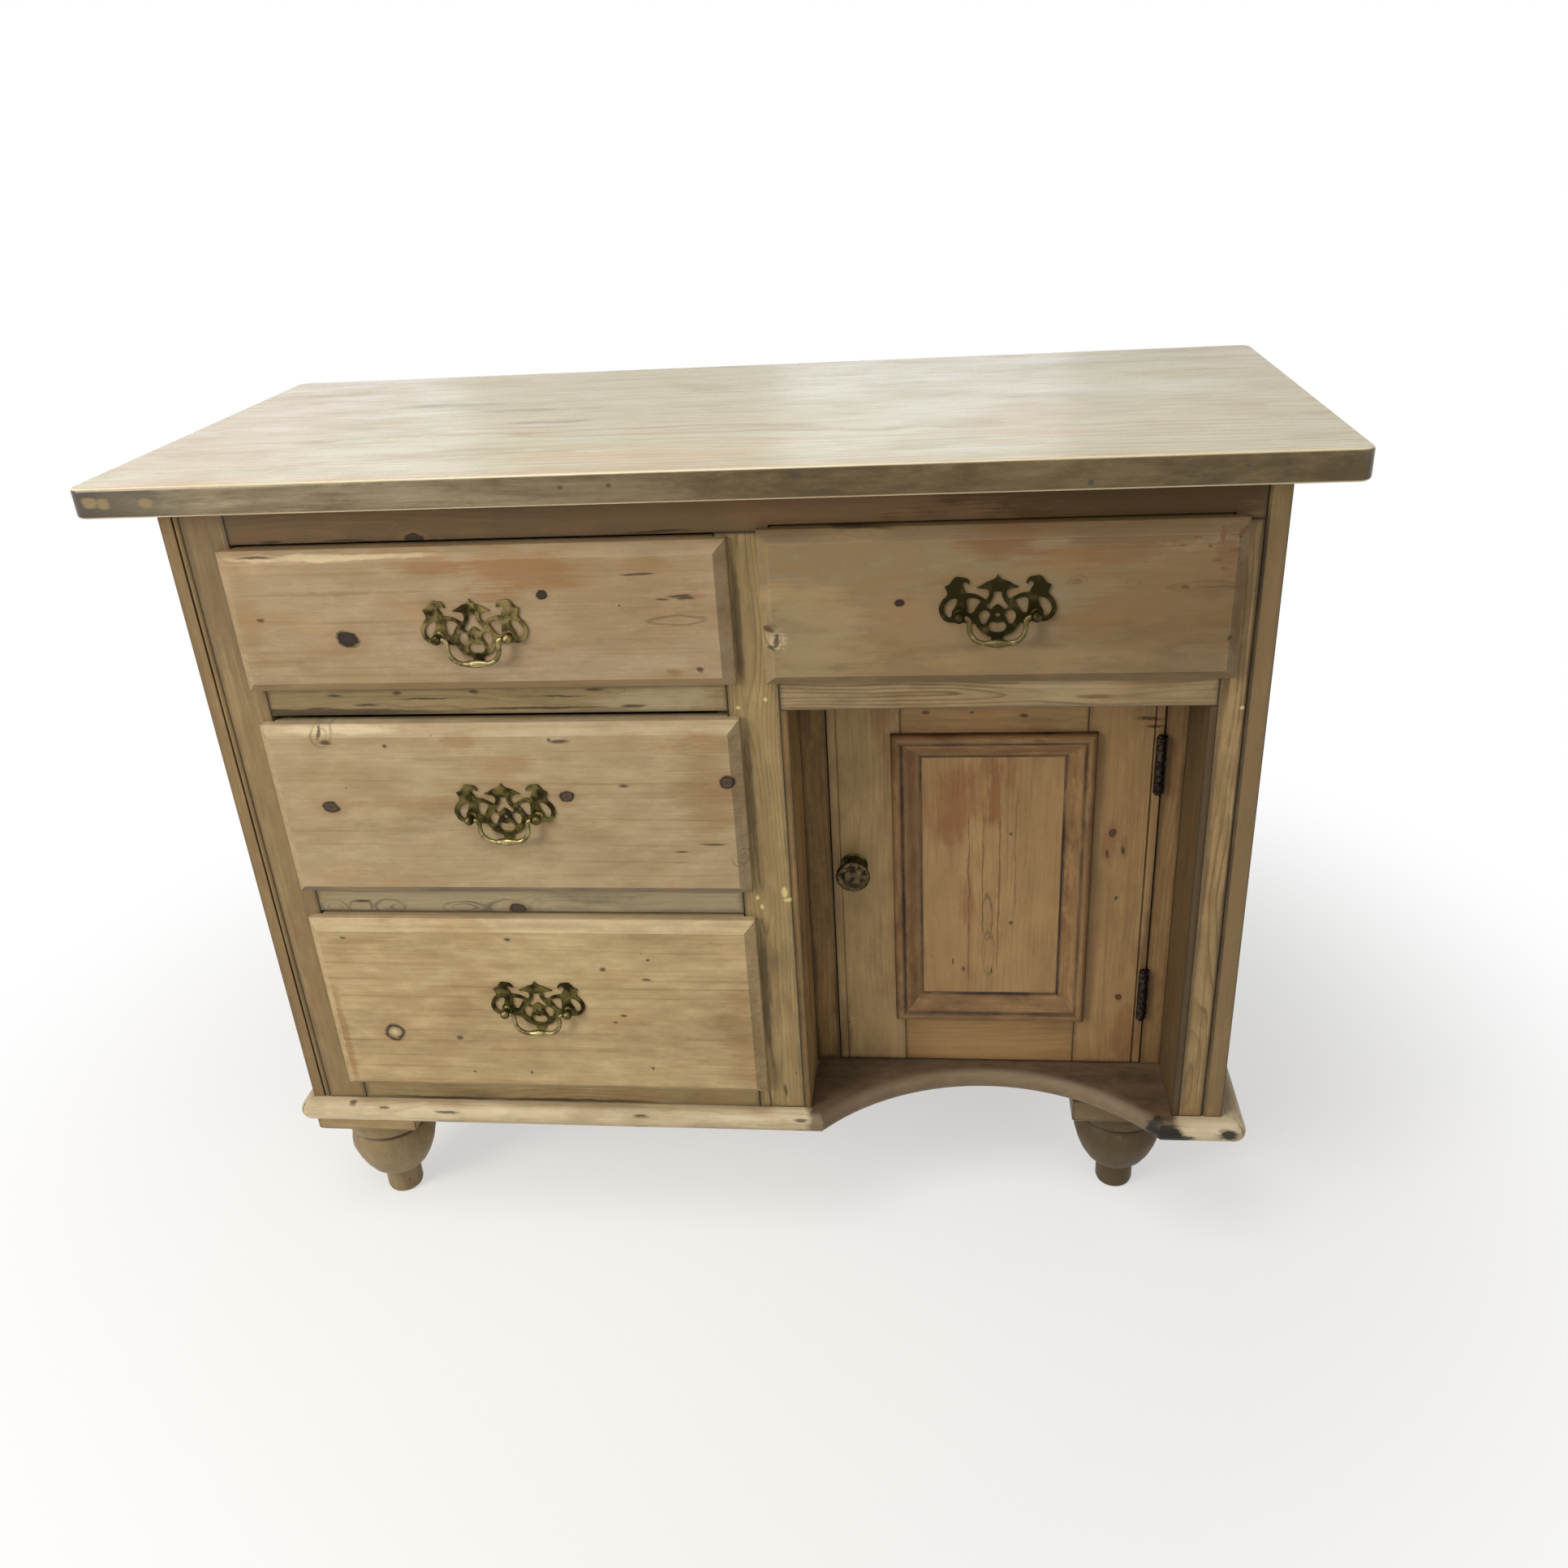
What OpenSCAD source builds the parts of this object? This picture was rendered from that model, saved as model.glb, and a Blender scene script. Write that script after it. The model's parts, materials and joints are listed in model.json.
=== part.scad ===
// Pine washstand with three graduated drawers on the left, one drawer over a recessed
// cupboard on the right, an arched base board and four turned feet.
// The frame's X runs along the front, Y runs to the back, Z is up, and the floor is Z = 0.

/* [Carcass] */
// Width across the two side boards
body_w = 960; // [920:5:1060]
// Depth from the face of the front frame to the back
body_d = 445; // [420:5:520]
// Thickness of a side board
side_t = 19; // [16:0.5:22]
// Width of the round bead worked on the left side board
side_bead = 7; // [4:0.5:8]
// Thickness of the front frame's stiles and rails
frame_t = 22; // [18:1:28]
// Width of the left stile, beside its side board
stile_left_w = 41; // [32:1:55]
// Width of the middle stile
stile_mid_w = 46.5; // [40:0.5:60]
// Width of the right stile, beside its side board
stile_right_w = 23.4; // [18:0.2:40]
// Width of the left bank's drawer openings
left_open_w = 431.5; // [400:0.5:450]
// Thickness of the upright partition behind the middle stile
partition_t = 18; // [12:1:22]
// Thickness of the back boards
back_t = 10; // [7:1:14]
// How many back boards there are
back_count = 6; // [4:1:8]
// Shrinkage gap between two back boards
back_gap = 0.8; // [0.4:0.1:2]
// Thickness of the bottom boards and of the board over the recess
inner_t = 10; // [7:1:14]

/* [Rails and openings] */
// Height of the bottom rail
bottom_rail_h = 27; // [22:1:40]
// Height of the lowest drawer opening
open_low_h = 212; // [190:1:240]
// Height of the middle drawer opening
open_mid_h = 186; // [165:1:210]
// Height of the top drawer opening
open_top_h = 136; // [122:1:160]
// Thickness of the rails between drawers
rail_t = 28; // [22:1:34]
// Height of the top rail
top_rail_h = 34; // [26:1:50]
// How far the right drawer opening is cut up into the top rail
right_notch = 5; // [2:0.5:10]

/* [Top board] */
// Thickness of the top board
top_t = 27; // [20:1:36]
// Overhang of the top board at the left side
top_over_left = 59; // [30:1:70]
// Overhang of the top board at the right side
top_over_right = 52; // [30:1:70]
// Overhang of the top board at the front
top_over_front = 29; // [22:1:31]
// Overhang of the top board at the back
top_over_back = 5; // [1:1:40]
// Radius of the top board's corners, seen from above
top_corner_r = 12; // [6:1:25]
// Radius of the top board's worn edges
top_edge_r = 3.5; // [1:0.5:6]

/* [Recess and cupboard] */
// Depth of the recess in front of the door
recess_d = 82; // [60:1:110]
// Thickness of the boards that line the recess
cheek_t = 7; // [4:0.5:10]
// Width of the fixed strip at the left of the door
jamb_w = 25.3; // [16:0.1:34]
// Width of the fixed stile that carries the hinges
hinge_stile_w = 20.2; // [17:0.1:30]
// Thickness of the door, the jamb strip and the hinge stile
door_t = 18; // [16:1:22]
// Running gap at the door's two upright edges
door_gap_side = 1.2; // [1:0.1:3]
// Running gap above and below the door
door_gap_end = 2; // [1:0.5:4]

/* [Door] */
// Width of the door's stiles
door_stile_w = 70; // [60:1:85]
// Height of the door's top rail
door_rail_top_h = 68; // [58:1:90]
// Height of the door's bottom rail
door_rail_low_h = 65; // [55:1:90]
// Width of the bead on the door's upright edges
door_bead = 8.5; // [6:0.5:11]
// Width of the beads' sunk line
bead_line = 1.2; // [0.8:0.1:2]
// Depth of the beads' sunk line
bead_line_d = 1.5; // [0.8:0.1:3]
// Thickness of the door's flat panel
panel_t = 8; // [5:0.5:9]
// Depth of the groove that holds the panel
panel_groove = 6; // [4:0.5:9]
// Distance from the door's face back to the panel's face
panel_set = 6; // [4:0.5:7]
// Width of the raised moulding round the panel
mould_w = 29; // [22:1:34]
// Width of moulding that laps on the door's frame
mould_lap = 9; // [6:0.5:14]
// Height of the moulding above the door's face
mould_rise = 9; // [6:0.5:10]
// Radius of the moulding's round outer edge
mould_bead = 5; // [3:0.5:6]
// Height of the moulding's square outer step
mould_step = 3; // [1:0.5:4]

/* [Hinges, knob and turn] */
// Length of a hinge
hinge_l = 58; // [46:2:76]
// Height of the lower hinge's foot above the base board
hinge_low_z = 64; // [40:1:100]
// Distance from the upper hinge's top down from the door's top edge
hinge_high_drop = 64; // [40:1:90]
// Radius of a hinge knuckle
knuckle_r = 4.4; // [3.6:0.1:4.8]
// Radius of a hinge pin
hinge_pin_r = 2; // [1.4:0.1:2.4]
// Thickness of a hinge leaf
leaf_t = 1.5; // [1:0.1:2]
// Width of a hinge leaf let into the wood
leaf_w = 15; // [11:0.5:15]
// Distance of the hinge axis from the door's hinge edge
hinge_axis_in = 3.2; // [2.6:0.1:3.6]
// Height of the knob's axis above the base board
knob_z = 245; // [160:1:300]
// Distance of the knob's axis from the door's left edge
knob_in = 21.5; // [19:0.5:30]
// Radius of the knob
knob_r = 17; // [12:0.5:17]
// How far the knob stands out from the door's face
knob_reach = 27; // [20:1:34]
// Radius of the knob's round plate
rose_r = 14; // [10:0.5:17]
// Thickness of the knob's round plate
rose_t = 2; // [1:0.5:3]
// Radius of the knob's spindle
spindle_r = 3.6; // [2.5:0.1:4.5]
// Length of the turn behind the door, from the knob's axis
turn_l = 34; // [30:1:40]
// Width of the turn
turn_w = 13; // [9:1:16]
// Thickness of the turn
turn_t = 3.5; // [2:0.5:5]

/* [Drawers] */
// How far a drawer front laps the stiles at each side
front_lap = 10; // [6:0.5:14]
// Thickness of a drawer front's edge, in front of the frame
front_edge_t = 8; // [6:0.5:12]
// Width of the sloped edge round a drawer front
bevel_w = 10; // [6:0.5:16]
// How far the sloped edge rises to the front's flat face
bevel_rise = 9; // [5:0.5:10]
// Thickness of the part of a drawer front inside the opening
front_in_t = 8; // [7:0.5:12]
// Gap above the low and the top drawer front on the left
front_top_gap = 3; // [1:0.5:6]
// Gap above the middle drawer front, which has sunk on its runners
mid_top_gap = 5; // [1:0.5:6]
// Gap above the right drawer front
right_top_gap = 1.5; // [1:0.5:6]
// Gap below a drawer front
front_low_gap = 1; // [0.5:0.5:3]
// Play at each side of a drawer box
box_side_gap = 1.5; // [1:0.5:3]
// Gap above a drawer box
box_top_gap = 6; // [4:1:15]
// Thickness of a drawer side
drawer_side_t = 11; // [8:0.5:14]
// Thickness of a drawer back
drawer_back_t = 9; // [7:0.5:12]
// Thickness of a drawer bottom
drawer_bottom_t = 7; // [5:0.5:9]
// Room between the drawer sides' back ends and the back boards
drawer_behind = 27.3; // [20:0.1:60]
// How far a drawer's back stands in from the sides' back ends
drawer_back_in = 6; // [4:0.5:12]
// How far a drawer's back lies below the sides' upper edges
drawer_back_low = 4; // [1:0.5:8]
// Wood left over the ends of the dovetails
tail_lap = 1; // [0.5:0.5:3]
// Height of the drawer bottom above the drawer sides' lower edges
bottom_up = 7; // [5:0.5:10]
// Depth of the grooves that hold a drawer bottom
bottom_groove = 4.5; // [3:0.5:6]
// How many dovetails join a low, a middle and a top drawer's side to its front
tails = [5, 4, 3]; // [2:1:7]
// Thickness of a drawer runner
runner_t = 18; // [12:1:22]
// How far a runner reaches under the drawer side
runner_in = 16; // [12:1:24]
// Height of the guide strip beside a drawer
guide_h = 22; // [14:1:30]

/* [Handles] */
// Distance between the two posts of a handle
post_span = 64; // [60:1:68]
// Thickness of a handle plate
plate_t = 2; // [1.5:0.1:3]
// Distance from the plate's face to the bail's axis
post_reach = 9; // [8:0.5:12]
// Radius of a post's round head
post_head_r = 4.6; // [4:0.1:5.4]
// Radius of a post's shank
post_shank_r = 3.1; // [2.4:0.1:3.6]
// Radius of a post's screwed rod
rod_r = 2.5; // [2:0.1:3]
// Radius of the bail's pivot pins
bail_pin_r = 1.5; // [1.2:0.1:2]
// Depth of a pivot pin in its post
bail_pin_l = 5.5; // [3:0.5:6]
// Radius of the bail's necks
bail_neck_r = 2.2; // [1.8:0.1:2.6]
// Radius of the bail's grip at its middle
bail_grip_r = 3.6; // [2.8:0.1:4.2]
// Drop from the pivots to the middle of the grip
bail_drop = 22.7; // [20:0.1:27]
// Radius of the bail's lower corners
bail_corner_r = 13.5; // [10:0.5:15]
// Height of the left bank's lowest handle above the base board
handle_low_z = 135; // [110:1:160]
// Height of the left bank's middle handle above the base board
handle_mid_z = 357; // [340:1:375]
// Height of the left bank's top handle above the base board
handle_top_z = 536; // [525:1:552]
// Height of the right drawer's handle above the base board
handle_right_z = 547; // [530:1:560]

/* [Base and feet] */
// Thickness of the base board, and so the height of its round nose
base_t = 24; // [18:1:30]
// How far the base board stands out at the front
base_over_front = 16; // [14:1:26]
// How far the base board stands out at the left side
base_over_left = 14; // [12:1:22]
// How far the base board stands out at the right side
base_over_right = 24; // [12:1:30]
// Width of the front base board, from its nose to its back edge
base_front_w = 176; // [150:1:220]
// Width of the side base boards
base_side_w = 62; // [50:1:90]
// Width of the back base board
base_back_w = 62; // [50:1:90]
// Radius of the arched kneehole
arch_r = 225; // [200:1:260]
// Depth of the kneehole behind the frame's face
arch_d = 62; // [40:1:70]
// Thickness of a foot's square block
block_t = 32; // [20:1:40]
// Width of a foot's square block
block_w = 112; // [100:1:120]
// Slope cut on a block's lower edges
block_cant = 7; // [3:1:12]
// Height of a turned foot
foot_h = 122; // [90:2:150]
// Largest radius of a turned foot
foot_r = 47; // [40:1:54]
// Radius of a foot's peg
peg_r = 20; // [16:0.5:26]
// Height of a foot's peg
peg_h = 34; // [18:1:42]
// Distance of the left feet and the right back foot from the carcass side
foot_in_side = 49; // [46:1:70]
// Distance of the right front foot from the carcass side
foot_right_in = 86; // [80:1:110]
// Distance of the left front foot from the frame's face
foot_in_front = 61; // [58:1:80]
// Distance of the right front foot from the frame's face
foot_right_front = 103; // [98:1:110]
// Distance of the back feet from the carcass back
foot_in_back = 60; // [58:1:90]

/* [Hidden] */
// Clearance between pieces that move past each other
run = 0.3;
// Room round a rod or a pin in its hole
play = 0.2;
eps = 0.01;
$fn = 64;

top_l = body_w + top_over_left + top_over_right;
top_d = body_d + top_over_front + top_over_back;
base_h = foot_h + block_t + base_t;
body_h = bottom_rail_h + open_low_h + rail_t + open_mid_h + rail_t + open_top_h + top_rail_h;

// Upright lines of the front frame
x_left = side_t + stile_left_w;
x_mid0 = x_left + left_open_w;
x_mid1 = x_mid0 + stile_mid_w;
x_right = body_w - side_t - stile_right_w;
x_part = x_mid1 - partition_t;
y_in = body_d - back_t;

// Rail heights above the base board
z_rail3 = bottom_rail_h + open_low_h;
z_rail2 = z_rail3 + rail_t + open_mid_h;
z_open1 = z_rail2 + rail_t;
z_top_rail = z_open1 + open_top_h;

// Recess and door
x_rec0 = x_mid1 + cheek_t;
x_rec1 = x_right - cheek_t;
x_jamb = x_rec0 + jamb_w;
x_hinge = x_rec1 - hinge_stile_w;
x_door0 = x_jamb + door_gap_side;
x_door1 = x_hinge - door_gap_side;
y_door1 = recess_d + door_t;
z_door0 = door_gap_end;
z_door1 = z_rail2 - door_gap_end;
x_pan0 = x_door0 + door_stile_w;
x_pan1 = x_door1 - door_stile_w;
z_pan0 = z_door0 + door_rail_low_h;
z_pan1 = z_door1 - door_rail_top_h;
x_pin = x_door1 - hinge_axis_in;
y_pin = recess_d - knuckle_r - run;
hinge_z = [hinge_low_z, z_door1 - hinge_high_drop - hinge_l];
knuckles = 5;
x_knob = x_door0 + knob_in;

// Drawers: left edge, right edge, floor and ceiling of the opening, gap above the front, tails
OPENINGS = [
    [x_left, x_mid0, bottom_rail_h, z_rail3, front_top_gap, tails[0]],
    [x_left, x_mid0, z_rail3 + rail_t, z_rail2, mid_top_gap, tails[1]],
    [x_left, x_mid0, z_open1, z_top_rail, front_top_gap, tails[2]],
    [x_mid1, x_right, z_open1, z_top_rail + right_notch, right_top_gap, tails[2]],
];
HANDLE_Z = [handle_low_z, handle_mid_z, handle_top_z, handle_right_z];
y_face = -run - front_edge_t - bevel_rise;
y_pivot = y_face - plate_t - post_reach;
box_x0 = box_side_gap;
y_box = front_in_t - run;
drawer_l = y_in - drawer_behind - y_box;

// The frame's origin is under the middle of everything, at floor level
reach_front = max(top_over_front, -(y_pivot - post_head_r));
mid_x = (body_w + top_over_right - top_over_left) / 2;
mid_y = (body_d + top_over_back - reach_front) / 2;

// Colours as the waxed pine, the aged brass and the iron show them
PINE = "#b39a72";
PINE_TOP = "#cbbd98";
PINE_DARK = "#8c7450";
BRASS = "#6f6a45";
IRON = "#3a3330";

// Moves a piece from the carcass corner to the frame's origin
module place() {
    translate([-mid_x, -mid_y, base_h]) children();
}

// A box between two opposite corners
module box(a, b) {
    translate(a) cube([b[0] - a[0], b[1] - a[1], b[2] - a[2]]);
}

// Section of a board's edge, eased above and below, from x = 0 out to x = w
module eased_edge(w, t, e) {
    translate([0, e]) square([w, t - 2 * e]);
    square([w - e, t]);
    for (z = [e, t - e]) translate([w - e, z]) circle(r = e, $fn = 32);
}

// A slab with round corners and eased edges, from the origin up
module eased_slab(l, d, t, rc, e) {
    translate([rc, rc, 0]) cube([l - 2 * rc, d - 2 * rc, t]);
    for (s = [0, 1]) {
        translate([rc, rc + s * (d - 2 * rc), 0]) mirror([0, 1 - s, 0]) rotate([90, 0, 90])
            linear_extrude(l - 2 * rc) eased_edge(rc, t, e);
        translate([rc + s * (l - 2 * rc), d - rc, 0]) mirror([1 - s, 0, 0]) rotate([90, 0, 0])
            linear_extrude(d - 2 * rc) eased_edge(rc, t, e);
        for (a = [0, 1])
            translate([rc + s * (l - 2 * rc), rc + a * (d - 2 * rc), 0])
                mirror([1 - s, 0, 0]) mirror([0, 1 - a, 0])
                    rotate_extrude(angle = 90) eased_edge(rc, t, e);
    }
}

module top_board() {
    color(PINE_TOP) place()
        translate([-top_over_left, -top_over_front, body_h])
            eased_slab(top_l, top_d, top_t, top_corner_r, top_edge_r);
}

// Side board with a rebate at the back for the back boards
module side_board() {
    difference() {
        cube([side_t, body_d, body_h]);
        translate([side_t / 2, y_in, -eps]) cube([side_t, back_t + eps, body_h + 2 * eps]);
    }
}

// The left board's front inner corner carries a round bead between two sunk lines
module side_left() {
    color(PINE) place() {
        bead_r = side_bead / 2 - 0.4;
        difference() {
            side_board();
            translate([side_t - side_bead, -eps, -eps])
                cube([side_bead + eps, bead_r + eps, body_h + 2 * eps]);
        }
        translate([side_t - side_bead / 2, bead_r, 0]) cylinder(r = bead_r, h = body_h, $fn = 32);
    }
}

// The right board's front inner arris is taken off, which leaves the one sunk line
module side_right() {
    color(PINE) place()
        translate([body_w, 0, 0]) mirror([1, 0, 0])
            difference() {
                side_board();
                translate([side_t, 0, -eps]) rotate([0, 0, 45])
                    translate([-1.6, -1.6, 0]) cube([3.2, 3.2, body_h + 2 * eps]);
            }
}

module stile_left() {
    color(PINE) place() box([side_t, 0, 0], [x_left, frame_t, body_h]);
}

module stile_middle() {
    color(PINE) place() box([x_mid0, 0, 0], [x_mid1, frame_t, z_top_rail]);
}

module stile_right() {
    color(PINE) place()
        difference() {
            box([x_right, 0, 0], [body_w - side_t, frame_t, z_top_rail]);
            translate([body_w - side_t, 0, -eps]) rotate([0, 0, 45])
                translate([-1, -1, 0]) cube([2, 2, z_top_rail + 2 * eps]);
        }
}

// One rail across the whole front, cut up over the right drawer
module top_rail() {
    color(PINE) place()
        difference() {
            box([x_left, 0, z_top_rail], [body_w - side_t, frame_t, body_h]);
            box([x_mid1, -eps, z_top_rail - eps], [x_right, frame_t + eps, z_top_rail + right_notch]);
        }
}

module drawer_rails() {
    color(PINE) place() {
        box([x_left, 0, 0], [x_mid0, frame_t, bottom_rail_h]);
        box([x_left, 0, z_rail3], [x_mid0, frame_t, z_rail3 + rail_t]);
        box([x_left, 0, z_rail2], [x_mid0, frame_t, z_open1]);
    }
}

module cupboard_rail() {
    color(PINE) place() box([x_mid1, 0, z_rail2], [x_right, frame_t, z_open1]);
}

module partition() {
    color(PINE_DARK) place() box([x_part, frame_t, 0], [x_mid1, y_in, body_h]);
}

module cheek_left() {
    color(PINE_DARK) place() box([x_mid1, 0, 0], [x_rec0, y_door1, z_rail2]);
}

module cheek_right() {
    color(PINE_DARK) place() box([x_rec1, 0, 0], [x_right, y_door1, z_rail2]);
}

module jamb_strip() {
    color(PINE_DARK) place() box([x_rec0, recess_d, 0], [x_jamb, y_door1, z_rail2]);
}

// Seats of the hinge leaves in the edge of a board, between two depths
module leaf_seat(a, b) {
    for (z = hinge_z)
        box([a, recess_d - eps, z], [b, recess_d + leaf_w, z + hinge_l]);
}

module hinge_stile() {
    color(PINE_DARK) place()
        difference() {
            box([x_hinge, recess_d, 0], [x_rec1, y_door1, z_rail2]);
            leaf_seat(x_hinge - eps, x_hinge + leaf_t);
        }
}

// Board over the recess and the cupboard, under the right drawer
module recess_soffit() {
    color(PINE_DARK) place()
        box([x_mid1, frame_t, z_rail2], [body_w - side_t, y_in, z_rail2 + inner_t]);
}

module bottom_boards() {
    color(PINE_DARK) place() {
        box([side_t, frame_t, 0], [x_part, y_in, inner_t]);
        box([x_mid1, y_door1 + 1, 0], [body_w - side_t, y_in, inner_t]);
    }
}

module door_stop() {
    color(PINE_DARK) place()
        box([x_jamb + 12, y_door1 + 0.6, z_rail2 - 12], [x_hinge - 12, y_door1 + 12, z_rail2]);
}

// Base board seen from above, with mitred and rounded front corners
nose_r = base_t / 2;
base_x0 = -base_over_left;
base_x1 = body_w + base_over_right;
base_y0 = -base_over_front;

// Round nose along +X with a ball at each end, which rounds the corners
module base_nose(l) {
    rotate([0, 90, 0]) cylinder(r = nose_r, h = l);
    for (x = [0, l]) translate([x, 0, 0]) sphere(r = nose_r);
}

module base_front() {
    color(PINE) place()
        intersection() {
            difference() {
                union() {
                    box([base_x0 + nose_r, base_y0 + nose_r, -base_t], [base_x1 - nose_r, base_y0 + base_front_w, 0]);
                    translate([base_x0 + nose_r, base_y0 + nose_r, -nose_r]) base_nose(base_x1 - base_x0 - base_t);
                }
                translate([arch_x, arch_d - arch_r, -base_t - eps])
                    difference() {
                        cylinder(r = arch_r + nose_r, h = base_t + 2 * eps, $fn = 128);
                        translate([0, 0, nose_r + eps])
                            rotate_extrude($fn = 128) translate([arch_r + nose_r, 0])
                                circle(r = nose_r, $fn = 48);
                    }
            }
            translate([0, 0, -base_t - 1]) linear_extrude(base_t + 2)
                polygon([
                    [base_x0, base_y0], [base_x1, base_y0],
                    [base_x1 - base_side_w, base_y0 + base_side_w],
                    [base_x1 - base_side_w, base_y0 + base_front_w],
                    [base_x0 + base_side_w, base_y0 + base_front_w],
                    [base_x0 + base_side_w, base_y0 + base_side_w],
                ]);
        }
}
arch_x = (x_rec0 + x_rec1) / 2;

// One side board of the base, nose at x = 0, mitred at the front end
module base_return(l) {
    intersection() {
        union() {
            box([nose_r, nose_r, -base_t], [base_side_w, l, 0]);
            translate([nose_r, nose_r, -nose_r]) rotate([0, 0, 90]) base_nose(l);
        }
        translate([0, 0, -base_t - 1]) linear_extrude(base_t + 2)
            polygon([[0, 0], [base_side_w, base_side_w], [base_side_w, l], [0, l]]);
    }
}

module base_returns() {
    color(PINE) place() {
        translate([base_x0, base_y0, 0]) base_return(body_d - base_y0);
        translate([base_x1, base_y0, 0]) mirror([1, 0, 0]) base_return(body_d - base_y0);
    }
}

module base_back() {
    color(PINE_DARK) place()
        box([base_x0 + base_side_w, body_d - base_back_w, -base_t], [base_x1 - base_side_w, body_d, 0]);
}

FEET = [
    [foot_in_side, foot_in_front], [body_w - foot_right_in, foot_right_front],
    [foot_in_side, body_d - foot_in_back], [body_w - foot_in_side, body_d - foot_in_back],
];

// Square block with its lower edges sloped off
module foot_block() {
    w = block_w / 2;
    c = block_cant;
    profile = [[-w, 0], [-w, c - block_t], [c - w, -block_t], [w - c, -block_t], [w, c - block_t], [w, 0]];
    intersection() {
        rotate([90, 0, 0]) translate([0, 0, -w]) linear_extrude(block_w) polygon(profile);
        rotate([90, 0, 90]) translate([0, 0, -w]) linear_extrude(block_w) polygon(profile);
    }
}

module foot_blocks() {
    color(PINE) place()
        for (f = FEET) translate([f[0], f[1], -base_t]) foot_block();
}

// Turned foot: a flat collar, a sunk line, a full round bulb and a narrow peg
collar_h = foot_h * 0.17;
bulb_top = foot_h - collar_h;
bulb_mid = peg_h + (bulb_top - peg_h) * 0.66;
foot_profile = concat(
    [[0, foot_h], [foot_r * 0.86, foot_h]],
    [for (a = [70 : -28 : -70]) [foot_r * 0.86 + collar_h * 0.42 * cos(a) - 1.5,
        foot_h - collar_h / 2 + collar_h / 2 * sin(a)]],
    [[foot_r * 0.82, bulb_top - 1]],
    [for (a = [50 : -12.5 : 0]) [foot_r * 0.62 + foot_r * 0.38 * cos(a),
        bulb_mid + (bulb_top - 2 - bulb_mid) * sin(a) / sin(50)]],
    [for (a = [-18 : -18 : -90]) [peg_r + 1.5 + (foot_r - peg_r - 1.5) * (0.65 * cos(a) + 0.35 * (1 + sin(a))),
        bulb_mid + (bulb_mid - peg_h) * sin(a)]],
    [[peg_r, peg_h], [peg_r, 6], [peg_r - 1.2, 2.4], [peg_r - 4, 0], [0, 0]]
);

module feet() {
    color(PINE) place()
        for (f = FEET) translate([f[0], f[1], -base_h]) rotate_extrude() polygon(foot_profile);
}

// Upright back boards a little apart, each with its long outer edges taken off
module back_boards() {
    w = (body_w - side_t + back_gap) / back_count;
    b = w - back_gap;
    color(PINE_DARK) place()
        for (i = [0 : back_count - 1])
            translate([side_t / 2 + i * w, y_in, 0]) linear_extrude(body_h)
                polygon([[0, 0], [b, 0], [b, back_t - 2], [b - 2, back_t], [2, back_t], [0, back_t - 2]]);
}

// Runner between two uprights with a guide strip on it, from height z0 up to the opening's floor
module runner(x0, x1, g0, g1, z0, z1) {
    if (x1 > x0) box([x0, frame_t, z0], [x1, y_in, z1]);
    if (g1 > g0) box([g0, frame_t, z1], [g1, y_in, z1 + guide_h]);
}

module drawer_runners() {
    color(PINE_DARK) place() {
        for (i = [0 : 2]) {
            z = OPENINGS[i][2];
            z0 = i == 0 ? inner_t : z - runner_t;
            runner(side_t, x_left + runner_in, side_t, x_left, z0, z);
            runner(x_mid0 - runner_in, x_part, x_mid0, x_part, z0, z);
        }
        z = OPENINGS[3][2];
        runner(x_mid1, x_mid1 + runner_in, 0, 0, z_rail2 + inner_t, z);
        runner(x_right - runner_in, body_w - side_t, x_right, body_w - side_t, z_rail2 + inner_t, z);
    }
}

// Knuckles of one hinge: every second one belongs to the door, with a small gap between
module hinge_half(first, x_leaf) {
    step = hinge_l / knuckles;
    for (z = hinge_z)
        difference() {
            union() {
                box([x_leaf, recess_d, z], [x_leaf + leaf_t, recess_d + leaf_w, z + hinge_l]);
                for (k = [first : 2 : knuckles - 1]) {
                    lo = z + k * step + (k == 0 ? 0 : run / 2);
                    hi = z + (k + 1) * step - (k == knuckles - 1 ? 0 : run / 2);
                    translate([x_pin, y_pin, lo]) cylinder(r = knuckle_r, h = hi - lo, $fn = 48);
                    box([x_pin, y_pin - leaf_t / 2, lo], [x_leaf + leaf_t, y_pin + leaf_t / 2, hi]);
                    box([x_leaf, y_pin, lo], [x_leaf + leaf_t, recess_d + 1, hi]);
                }
            }
            translate([x_pin, y_pin, z - 1]) cylinder(r = hinge_pin_r + 0.1, h = hinge_l + 2, $fn = 48);
        }
}

module hinge_fixed_leaves() {
    color(IRON) place() hinge_half(0, x_hinge);
}

module hinge_pins() {
    color(IRON) place()
        for (z = hinge_z) {
            translate([x_pin, y_pin, z - 1]) cylinder(r = hinge_pin_r, h = hinge_l + 2, $fn = 48);
            for (e = [z - 2.2, z + hinge_l + run])
                translate([x_pin, y_pin, e]) cylinder(r = hinge_pin_r + 1, h = 1.9, $fn = 48);
        }
}

// Bead line along an upright door edge, at a distance in from it
module bead_cut(x) {
    box([x - bead_line / 2, recess_d - eps, z_door0 - eps], [x + bead_line / 2, recess_d + bead_line_d, z_door1 + eps]);
}

// The panel with its groove room
module panel_room() {
    box([x_pan0 - panel_groove, recess_d + panel_set, z_pan0 - panel_groove],
        [x_pan1 + panel_groove, recess_d + panel_set + panel_t, z_pan1 + panel_groove]);
}

module door_stile_left() {
    color(PINE) place()
        difference() {
            box([x_door0, recess_d, z_door0], [x_pan0, y_door1, z_door1]);
            bead_cut(x_door0 + door_bead);
            panel_room();
            translate([x_knob, recess_d - eps, knob_z]) rotate([-90, 0, 0])
                cylinder(r = spindle_r + run, h = door_t + 2 * eps, $fn = 48);
        }
}

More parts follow.
